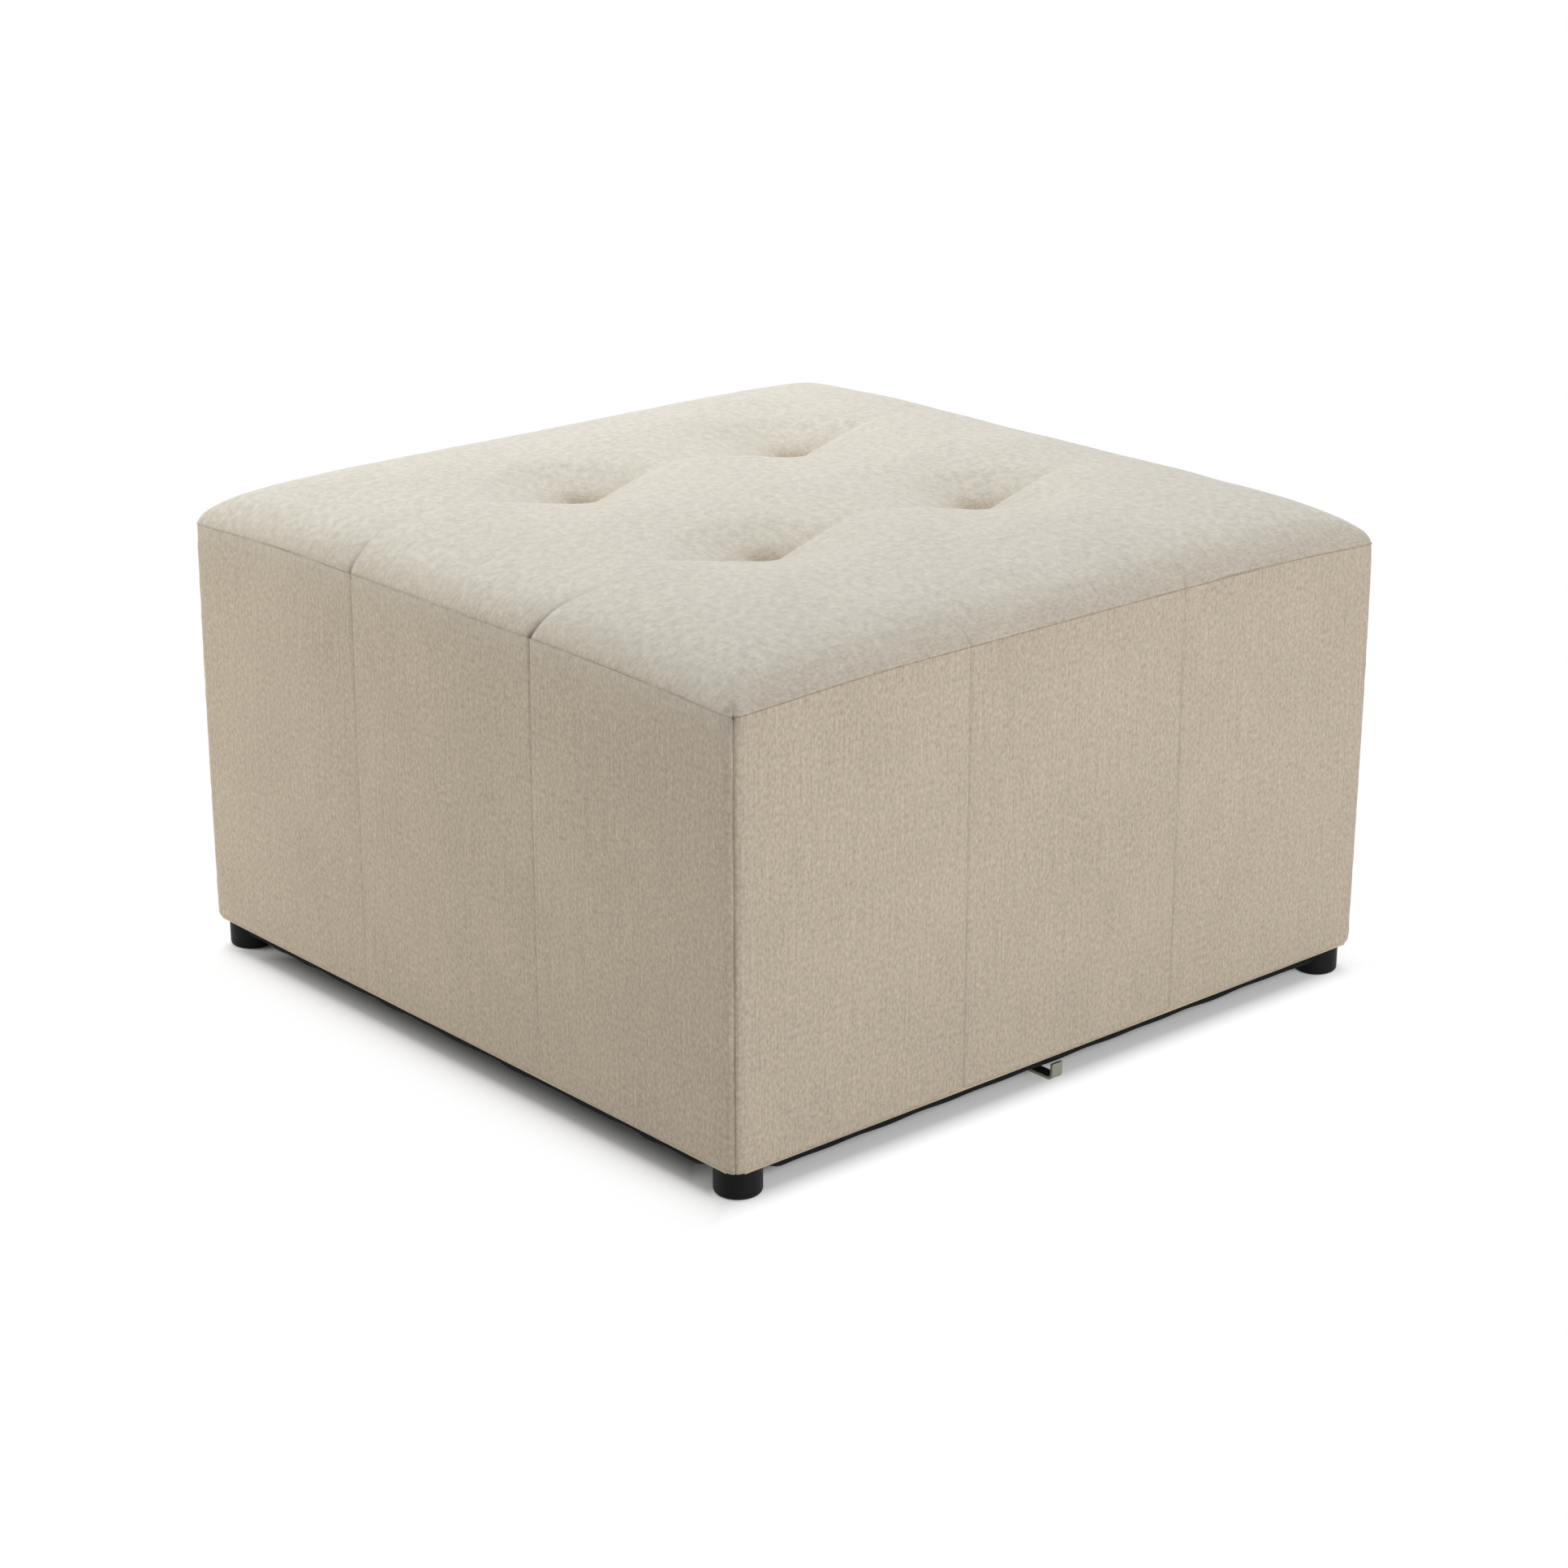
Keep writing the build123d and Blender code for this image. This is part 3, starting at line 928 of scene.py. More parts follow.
@dataclass(frozen=True)
class CoverPlan:
    """The sizes that the seat panel and the side covers share.

    Attributes:
        half: Half the width and half the depth, to the wall planes.
        base: Lowest level of the cloth.
        seam: Level of the top seam at the corners.
        crown: How far the seat's middle rises above that.
        reach: How far in from the edge the crown rises.
        nose: How far in from the edge the rolled edge and its soft tail reach.
        nose_tail: The tail's share of the rolled edge.
        nose_round: How round the rolled edge leaves the seam; 0 is a plain slant.
        nose_height: How far the rolled edge rises.
        sweep: How far the top seam rises from a corner to the middle of a side.
        fullness: How full the seat's corners are; higher is fuller.
        corner: Corner radius in plan.
        panels: Panels sewn side by side on each side.
        swell: How far a panel swells between its seams.
        arch: How far the top seam arches between the panel seams.
        groove: How deep a seam pulls the cloth in.
        groove_width: How wide that is.
        allowance: Cloth turned in behind a seam.
        thickness: The cloth's thickness.
    """

    half: tuple[float, float]
    base: float
    seam: float
    crown: float
    reach: float = 210 * MM
    nose: tuple[float, float] = (40 * MM, 105 * MM)
    nose_tail: float = 0.38
    nose_round: float = 0.33
    nose_height: float = 28 * MM
    sweep: float = 6 * MM
    fullness: float = 3.0
    corner: float = 12 * MM
    panels: int = 3
    swell: float = 1.5 * MM
    arch: float = 0.9 * MM
    groove: float = 1.1 * MM
    groove_width: float = 1.1 * MM
    allowance: float = 6 * MM
    thickness: float = 1.2 * MM

    @classmethod
    def from_frame(cls, plump: float = 4 * MM) -> "CoverPlan":
        """Reads the plan off the CAD covers.

        Args:
            plump: How much higher than the CAD seat the stuffed one is.

        Returns:
            The plan.
        """
        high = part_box("top_cover")[1]
        base, seam = (corner.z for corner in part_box("front_cover"))
        return cls((high.x, high.y), base, seam, high.z - seam + plump)

    def rolled(self, inset: Array) -> Array:
        """How far the rolled edge has climbed.

        Args:
            inset: Distance in from the edge.

        Returns:
            Its share of the whole climb.
        """
        near, far = (np.clip(inset / size, 0, 1) for size in self.nose)
        slant, tail = (np.sin(QUARTER * part) for part in (near, far))
        tight = slant + self.nose_round * (np.sqrt(near * (2 - near)) - slant)
        return (1 - self.nose_tail) * tight + self.nose_tail * tail

    def sloped(self, inset: Array) -> Array:
        """Share of the crown's slope climbed at a distance in from the edge."""
        return np.sin(QUARTER * np.clip(inset, 0, self.reach) / self.reach)

    def rise(self, inset_x: Array, inset_y: Array) -> Array:
        """Height of the crown above the corners' seam.

        Args:
            inset_x: Distance in from the left or right edge.
            inset_y: Distance in from the front or back edge.

        Returns:
            The height in metres.
        """
        power = self.fullness
        side, end = (np.maximum(self.rolled(inset), SLIVER) for inset in (inset_x, inset_y))
        edge = 2 ** (1 / power) * side * end / (side ** power + end ** power) ** (1 / power)
        slope_x, slope_y = self.sloped(inset_x), self.sloped(inset_y)
        arch = 1 - (1 - slope_x) * (1 - slope_y)
        middle = self.crown - self.nose_height - self.sweep
        return self.nose_height * edge + self.sweep * arch + middle * slope_x * slope_y

    def between(self, along: Array, half: float) -> Array:
        """How far places are from the panel seams beside them.

        Args:
            along: Distances along a side.
            half: Half the side's length.

        Returns:
            0 at a seam and 1 half-way between two.
        """
        inside = np.clip(along, -half + SLIVER, half - SLIVER)
        share = np.mod((inside + half) / (2 * half / self.panels), 1.0)
        return 1 - (2 * share - 1) ** 2

    def bulge(self, along: Array, half: float) -> Array:
        """How far a side swells out, at a distance along it."""
        return self.swell * self.between(along, half)

    def puff(self, along: Array, half: float) -> Array:
        """How far the top seam arches between the panel seams."""
        return self.arch * self.between(along, half)

    def edge_level(self, along: Array, half: float) -> Array:
        """Level of the top seam at a distance along a side."""
        return self.seam + self.rise(np.zeros_like(along), half - np.abs(along)) + self.puff(along, half)

    def seam_lines(self, half: float) -> list[float]:
        """Where the panel seams stand along a side."""
        width = 2 * half / self.panels
        return [-half + width * number for number in range(1, self.panels)]


@dataclass
class SeatPanel:
    """The crowned seat panel with its four blind tufts.

    Attributes:
        plan: The sizes shared with the sides.
        finish: The cloth.
        lining: The wadding's material.
        stuffing: The foam's material.
        wadding: The wadding's thickness under the cloth.
        play: Room between the cloth, the wadding and the foam.
        lining_margin: Grid lines at each edge that the wadding and the foam leave out.
        bowl: Depth, reach and steepness of the wide bowl round a tuft.
        pit: Depth and reach of the funnel at its stitch.
        crease: Depth and reach of the crease that runs through it.
        crease_width: Width of the crease's near flank and of its far one.
        valley: Depth and reach of the soft valley that the crease runs out into.
        valley_width: Width of the valley's near flank and of its far one.
        bow: How sharply the crease bows away from the tuft, in parts per metre.
        waver: Height and length of the crease's wander.
        pull_depth: Depth of the folds that side seams pull into the edge.
        pull_shares: Strength of the folds at the front's right, the front's left, the back and the sides.
        pull_reach: How far the folds reach in from the front and back, and from the sides.
        pull_lean: How far a fold leans over on its way in.
        pull_width: A fold's width at the seam, how fast it widens, and how far in it stops widening.
        pull_line: Width of the painted shade along a fold's line.
        pucker: Height and length of the puckers along the seam.
        pucker_reach: How far in from the seam the puckers begin and end.
        wave: Height and length of the seat's slow waves, and how far in they are at full height.
        wave_slant: How far they slant.
        seam_groove: Depth and width of the line of the seam.
        corner_dent: Depth and width of the dimple where three seams meet.
        painted_seam_shade: How dark the painted shade along the seam's line is.
        painted_shade_width: Width of that line, and of the painted dark spot at a corner.
        painted_shade_patch: Length of the line's darker and lighter stretches.
        painted_shade_range: The usual share of its darkness, how far that varies, and the least.
        nap_sides: How far outside the left and right seams the brushed colour begins, and over what length;
            that lighter top is partly painted light.
        nap_ends: The same for the front and back seams.
        nap_corner: How much earlier it begins near a corner, and how near that is.
        nap_depth: How deep a fold has to be for the cloth to take its darker, unbrushed colour there, as
            painted shade.
        edge_turn: How far in from a seam the cloth faces sideways.
        edge_lift: How much it faces up there.
        turned_rows: Rows of cloth turned in behind the seam.
        turned_drop: How steeply they go down.
        steps: Steps between two tuft lines.
        cloth_steps: Steps of the simulated sheet.
        cloth_frames: Frames of the simulation.
        cloth_cap: The most that the simulation may move a point.
        cloth_margin: How far in from the seam it may do that.
        cloth_hold: How far round a tuft the sheet is held.
        cloth_fold: How deep a fold has to be for the simulation to leave it alone.
    """

    plan: CoverPlan
    finish: bpy.types.Material
    lining: bpy.types.Material
    stuffing: bpy.types.Material
    wadding: float = 4 * MM
    play: float = 0.4 * MM
    lining_margin: int = 12
    bowl: tuple[float, float, float] = (9 * MM, 75 * MM, 1.5)
    pit: tuple[float, float] = (10 * MM, 13 * MM)
    crease: tuple[float, float] = (8 * MM, 38 * MM)
    crease_width: tuple[float, float] = (5 * MM, 17 * MM)
    valley: tuple[float, float] = (3.2 * MM, 85 * MM)
    valley_width: tuple[float, float] = (13 * MM, 34 * MM)
    bow: float = 0.5
    waver: tuple[float, float] = (1.2 * MM, 21 * MM)
    pull_depth: float = 3.4 * MM
    pull_shares: tuple[float, float, float, float] = (1.0, 0.6, 0.1, 0.4)
    pull_reach: tuple[float, float] = (46 * MM, 15 * MM)
    pull_lean: float = 0.16
    pull_width: tuple[float, float, float] = (1.5 * MM, 0.12, 80 * MM)
    pull_line: float = 1.3 * MM
    pucker: tuple[float, float] = (0.2 * MM, 23 * MM)
    pucker_reach: tuple[float, float] = (2.5 * MM, 10 * MM)
    wave: tuple[float, float, float] = (0.4 * MM, 150 * MM, 60 * MM)
    wave_slant: float = 0.4
    seam_groove: tuple[float, float] = (0.15 * MM, 0.7 * MM)
    corner_dent: tuple[float, float] = (2.0 * MM, 7 * MM)
    painted_seam_shade: float = 0.06
    painted_shade_width: tuple[float, float] = (0.8 * MM, 2.4 * MM)
    painted_shade_patch: float = 55 * MM
    painted_shade_range: tuple[float, float, float] = (0.55, 0.45, 0.1)
    nap_sides: tuple[float, float] = (38 * MM, 95 * MM)
    nap_ends: tuple[float, float] = (15 * MM, 48 * MM)
    nap_corner: tuple[float, float] = (11 * MM, 110 * MM)
    nap_depth: float = 15 * MM
    edge_turn: float = 14 * MM
    edge_lift: float = 1.6
    turned_rows: int = 3
    turned_drop: float = 0.4
    steps: int = 62
    cloth_steps: int = 120
    cloth_frames: int = 20
    cloth_cap: float = 6 * MM
    cloth_margin: float = 150 * MM
    cloth_hold: float = 7 * MM
    cloth_fold: float = 9 * MM

    def run(self, half: float, count: int = 600) -> tuple[Array, Array]:
        """The panel's cross-section from the middle outwards.

        Args:
            half: Half the panel's width there.
            count: How many places it is measured at.

        Returns:
            Arc length and distance from the middle.
        """
        inset = self.plan.reach * np.linspace(1, 0, count) ** 2
        out = half - inset
        high = self.plan.rise(inset, np.full_like(inset, self.plan.reach))
        arc = np.concatenate([[0], np.cumsum(np.hypot(np.diff(out), np.diff(high)))]) + out[0]
        return np.concatenate([[0], arc]), np.concatenate([[0], out])

    def stations(self, half: float) -> Array:
        """Lays out the grid lines across the panel, with the turned-in allowance.

        Args:
            half: Half the panel's width.

        Returns:
            Their arc lengths from the middle.
        """
        edge = self.run(half)[0][-1]
        line = half / self.plan.panels
        marks = (-edge, -line, line, edge)
        span = joined(*(crowded(start, end, self.steps) for start, end in zip(marks, marks[1:])))
        turned = self.plan.allowance * np.linspace(1, 0, self.turned_rows + 1)[:-1]
        return np.concatenate([-edge - turned, span, edge + turned[::-1]])

    def tufts(self) -> list[tuple[float, float]]:
        """Places of the four tufts."""
        x, y = (half / self.plan.panels for half in self.plan.half)
        return [(side * x, end * y) for side in (-1, 1) for end in (-1, 1)]

    def folds(self, x: Array, y: Array) -> Array:
        """How far the tufts, and the creases through them, pull the cloth down.

        Args:
            x: Places across.
            y: Places along.

        Returns:
            The depth at each place.
        """
        depth = np.zeros_like(x)
        bowl, bowl_reach, steepness = self.bowl
        for place in self.tufts():
            end = y - place[1]
            away = np.hypot(x - place[0], end)
            side = x - place[0] + self.bow * end ** 2 - self.waver[0] * np.sin(end / self.waver[1])
            crease, valley = (np.where(side > 0, *width) for width in (self.crease_width, self.valley_width))
            depth += bowl * np.exp(-(away / bowl_reach) ** steepness) + self.pit[0] * cusp(away, self.pit[1])
            depth += self.crease[0] * cusp(end, self.crease[1]) * cusp(side, crease)
            depth += self.valley[0] * np.exp(-(end / self.valley[1]) ** 2) * cusp(side, valley)
        return depth

    def pulls(self, grid: EdgeGrid) -> tuple[Array, Array]:
        """The folds that the side seams pull into the rolled edge.

        Args:
            grid: Places on the seat, with their distances over the cloth.

        Returns:
            Their depth at each place, and the painted shade along their lines.
        """
        depth, painted_fold_shade = np.zeros_like(grid.x), np.zeros_like(grid.x)
        front_right, front_left, back, sides = self.pull_shares
        ends = np.where(grid.y > 0, back, np.where(grid.x > 0, front_right, front_left))
        start, widening, widest = self.pull_width
        runs = zip(
            (grid.x, grid.y), (grid.near_y, grid.near_x), self.plan.half, self.pull_reach, (ends, sides)
        )
        for along, near, half, reach, share in runs:
            strength = share * np.exp(-near / reach)
            width = start + widening * np.clip(near, 0, widest)
            for line in self.plan.seam_lines(half):
                offset = along - line + self.pull_lean * near * (1 if line < 0 else -1)
                depth += self.pull_depth * strength * cusp(offset, width)
                # Painted shade along the fold's line.
                painted_fold_shade = np.maximum(painted_fold_shade, strength * cusp(offset, self.pull_line))
        return depth, painted_fold_shade

    def surface(self, across: Array, along: Array, detailed: bool) -> tuple[Array, dict[str, Array]]:
        """Points of the panel over a grid of arc lengths.

        Args:
            across: Arc lengths across X.
            along: Arc lengths across Y.
            detailed: True for the seam's groove, its puckers and the edge folds as well.

        Returns:
            The points and their tones.
        """
        plan = self.plan
        lines = []
        for stations, half in zip((across, along), plan.half):
            arc, out = self.run(half)
            size = np.abs(stations)
            past = np.clip(size - arc[-1], 0, None)
            near = np.clip(arc[-1] - size, 0, None)
            lines.append((np.sign(stations) * (np.interp(size, arc, out) - past), past, near))
        (x, y), (past_x, past_y), (near_x, near_y) = (
            np.meshgrid(first, second, indexing="xy") for first, second in zip(*lines)
        )
        inset_x = plan.half[0] - np.abs(x) - past_x
        inset_y = plan.half[1] - np.abs(y) - past_y
        edge_x, edge_y = 1 - plan.rolled(inset_x), 1 - plan.rolled(inset_y)
        z = plan.seam + plan.rise(inset_x, inset_y) - self.folds(x, y) - self.turned_drop * (past_x + past_y)
        z += plan.puff(y, plan.half[1]) * edge_x + plan.puff(x, plan.half[0]) * edge_y
        swollen_x = x + np.sign(x) * plan.bulge(y, plan.half[1]) * edge_x ** 2
        swollen_y = y + np.sign(y) * plan.bulge(x, plan.half[0]) * edge_y ** 2
        points = np.stack([*self.rounded(swollen_x, swollen_y), z], axis=2)
        if not detailed:
            return points, {}
        grid = EdgeGrid(x, y, near_x, near_y)
        depth, shade = self.relief(grid)
        points -= self.outward(grid) * depth[..., None]
        return points, {PAINTED_SEAM_SHADE: shade, NAP_AND_PAINTED_LIGHT: self.nap_and_painted_light(grid)}

    def relief(self, grid: EdgeGrid) -> tuple[Array, Array]:
        """The small relief of the seam, its puckers and its folds.

        Args:
            grid: Places on the seat, with their distances over the cloth.

        Returns:
            Its depth at each place, and the painted shade of the seam, the edge folds and the corner dimples
            there.
        """
        near, corner = grid.near, grid.corner
        depth, painted_fold_shade = self.pulls(grid)
        begin, end = self.pucker_reach
        pucker = self.pucker[0] * grid.ripple(self.pucker[1], Seed.SEAT_PUCKER)
        depth -= pucker * np.exp(-near / end) * (1 - np.exp(-near / begin))
        height, length, inside = self.wave
        wave = height * ripple(grid.x + self.wave_slant * grid.y, length, Seed.SEAT_WAVE)
        depth -= wave * np.clip(near / inside, 0, 1)
        depth += self.seam_groove[0] * np.exp(-near / self.seam_groove[1])
        depth += self.corner_dent[0] * np.exp(-corner / self.corner_dent[1])
        # Painted shade along the seam in uneven stretches, and a painted dark spot at each corner dimple.
        usual, varied, least = self.painted_shade_range
        patchy = usual + varied * grid.ripple(self.painted_shade_patch, Seed.SEAT_SHADE)
        line, spot = self.painted_shade_width
        shade = self.painted_seam_shade * np.clip(patchy, least, 1) * np.exp(-near / line)
        return depth, np.maximum(np.maximum(shade, np.exp(-corner / spot)), painted_fold_shade)

    def nap_and_painted_light(self, grid: EdgeGrid) -> Array:
        """How far the cloth takes its lighter brushed colour, partly painted top light: less along the seams,
        and not at all deep in a tuft, which is painted shade.

        Args:
            grid: Places on the seat, with their distances over the cloth.

        Returns:
            A share from 0 to 1 at each place.
        """
        more, corner = self.nap_corner
        early = self.nap_ends[0] + more * np.exp(-(np.maximum(grid.near_x, grid.near_y) / corner) ** 2)
        from_sides = (grid.near_x + self.nap_sides[0]) / self.nap_sides[1]
        from_ends = (grid.near_y + early) / self.nap_ends[1]
        step = np.minimum(from_sides, from_ends).clip(0, 1)
        return step ** 2 * (3 - 2 * step) * np.exp(-(self.folds(grid.x, grid.y) / self.nap_depth) ** 4)

    def outward(self, grid: EdgeGrid) -> Array:
        """The way out of the stuffing: up on the seat, sideways at its edges.

        Args:
            grid: Places on the seat, with their distances over the cloth.

        Returns:
            Unit vectors.
        """
        lean_x, lean_y = (np.exp(-near / self.edge_turn) for near in (grid.near_x, grid.near_y))
        up = self.edge_lift - np.maximum(lean_x, lean_y)
        way = np.stack([np.sign(grid.x) * lean_x, np.sign(grid.y) * lean_y, up], axis=2)
        return way / np.linalg.norm(way, axis=2, keepdims=True)

    def rounded(self, x: Array, y: Array) -> tuple[Array, Array]:
        """Rounds the panel's corners in plan.

        Args:
            x: Places across.
            y: Places along.

        Returns:
            The moved places.
        """
        start_x, start_y = (half - self.plan.corner for half in self.plan.half)
        past_x, past_y = np.abs(x) - start_x, np.abs(y) - start_y
        both = (past_x > 0) & (past_y > 0)
        scale = np.maximum(past_x, past_y) / np.maximum(np.hypot(past_x, past_y), SLIVER)
        new_x = np.where(both, np.sign(x) * (start_x + past_x * scale), x)
        new_y = np.where(both, np.sign(y) * (start_y + past_y * scale), y)
        return new_x, new_y

    def simulated(self) -> tuple[Array, Array, Array]:
        """Fills a coarse sheet of cloth with pressure, held at the seam and the tufts.

        Returns:
            Arc lengths across and along, and how far each point moved.
        """
        edges = [self.run(half)[0][-1] for half in self.plan.half]
        across, along = (np.linspace(-edge, edge, self.cloth_steps + 1) for edge in edges)
        points, _ = self.surface(across, along, False)
        mesh = bpy.data.meshes.new("seat_sheet")
        mesh.from_pydata(points.reshape(-1, 3).tolist(), [], sheet_cells(*points.shape[:2]).tolist())
        sheet = in_scene("seat_sheet", mesh)
        still = np.ones(points.shape[:2], bool)
        still[1:-1, 1:-1] = False
        for tuft in self.tufts():
            still |= np.hypot(points[..., 0] - tuft[0], points[..., 1] - tuft[1]) < self.cloth_hold
        held = sheet.vertex_groups.new(name="held")
        held.add(np.flatnonzero(still).tolist(), 1.0, "REPLACE")
        moved = self.filled(sheet, held.name).reshape(points.shape) - points
        bpy.data.objects.remove(sheet)
        bpy.data.meshes.remove(mesh)
        moved = self.eased(moved)
        size = np.linalg.norm(moved, axis=2, keepdims=True)
        LOG.info("the seat's cloth moved %.1f mm at most", size.max() / MM)
        inset = np.minimum(*np.meshgrid(edges[0] - np.abs(across), edges[1] - np.abs(along)))
        free = np.exp(-(self.folds(points[..., 0], points[..., 1]) / self.cloth_fold) ** 2)
        free *= np.clip(inset / self.cloth_margin, 0, 1)
        capped = np.minimum(1, self.cloth_cap / np.maximum(size, SLIVER))
        return across, along, moved * free[..., None] * capped

    def filled(self, sheet: bpy.types.Object, held: str) -> Array:
        """Runs the simulation on a sheet.

        Args:
            sheet: The flat sheet.
            held: The group of its points that can't move.

        Returns:
            The coordinates that its points end at, in one row.
        """
        cloth = sheet.modifiers.new("stuffing", "CLOTH")
        for name, value in STUFFING.items():
            setattr(cloth.settings, name, value)
        cloth.settings.vertex_group_mass = held
        cloth.settings.effector_weights.gravity = 0
        cloth.point_cache.frame_start, cloth.point_cache.frame_end = 1, self.cloth_frames
        scene = bpy.context.scene
        for number in range(1, self.cloth_frames + 1):
            scene.frame_set(number)
        shape = sheet.evaluated_get(bpy.context.evaluated_depsgraph_get()).data
        ended = np.zeros(3 * len(shape.vertices))
        shape.vertices.foreach_get("co", ended)
        scene.frame_set(1)
        return ended

    @staticmethod
    def eased(moved: Array, passes: int = 6) -> Array:
        """Takes the small wrinkles out of a movement and holds its rim still.

        Args:
            moved: The movement of each point.
            passes: How many times each point is blended with its neighbours.

        Returns:
            The smoother movement.
        """
        for _ in range(passes):
            wide = np.pad(moved, ((1, 1), (1, 1), (0, 0)), mode="edge")
            beside = wide[:-2, 1:-1] + wide[2:, 1:-1] + wide[1:-1, :-2] + wide[1:-1, 2:]
            moved = (beside + 2 * moved) / 6
            moved[[0, -1]] = 0
            moved[:, [0, -1]] = 0
        return moved

    def settled(self, across: Array, along: Array) -> Array:
        """The simulation's movement, read at the fine grid's lines.

        Args:
            across: Arc lengths of the fine grid across X.
            along: Arc lengths of the fine grid across Y.

        Returns:
            The movement of each point.
        """
        coarse_x, coarse_y, moved = self.simulated()
        rows = np.apply_along_axis(lambda run: np.interp(across, coarse_x, run), 1, moved)
        return np.apply_along_axis(lambda run: np.interp(along, coarse_y, run), 0, rows)

    def build(self) -> list[bpy.types.Object]:
        """Returns:
            The wadding, the foam and the panel.
        """
        across, along = (self.stations(half) for half in self.plan.half)
        points, tones = self.surface(across, along, True)
        points += self.settled(across, along)
        weave = np.stack(np.meshgrid(across, along, indexing="xy"), axis=2)
        lining = self.lined(points, weave)
        seam = np.zeros(len(along), bool)
        seam[[self.turned_rows, -1 - self.turned_rows]] = True
        folded = seam[:, None] | seam[None]
        piece = ClothShell("seat_panel", points, weave, self.plan.thickness, tones, folded=folded).build()
        piece.data.materials.append(self.finish)
        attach(piece, Body.FRAME.value)
        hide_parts("top_cover")
        return [*lining, piece]

    def lined(self, points: Array, weave: Array) -> list[bpy.types.Object]:
        """Lays the fibre wadding close under the panel, and the foam block under that.

        Args:
            points: The panel's points.
            weave: Its cloth coordinates.

        Returns:
            The wadding and the foam.
        """
        part = (slice(self.lining_margin, -self.lining_margin, 2),) * 2
        down = sheet_normals(points)[part]
        top = points[part] - down * (self.plan.thickness + self.play)
        sheet = ClothShell("seat_wadding_sheet", top, weave[part], self.wadding).build()
        sheet.data.materials.append(self.lining)
        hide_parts("seat_wadding")
        low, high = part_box("seat_foam")
        core = top - down * (self.wadding + self.play)
        for axis in range(2):
            core[..., axis] = np.clip(core[..., axis], low[axis], high[axis])
        floor = core.copy()
        floor[..., 2] = low.z
        block = ClothShell("seat_foam_block", core, weave[part], 0.0, under=floor).build()
        block.data.materials.append(self.stuffing)
        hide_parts("seat_foam")
        for piece in (sheet, block):
            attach(piece, Body.FRAME.value)
        return [sheet, block]


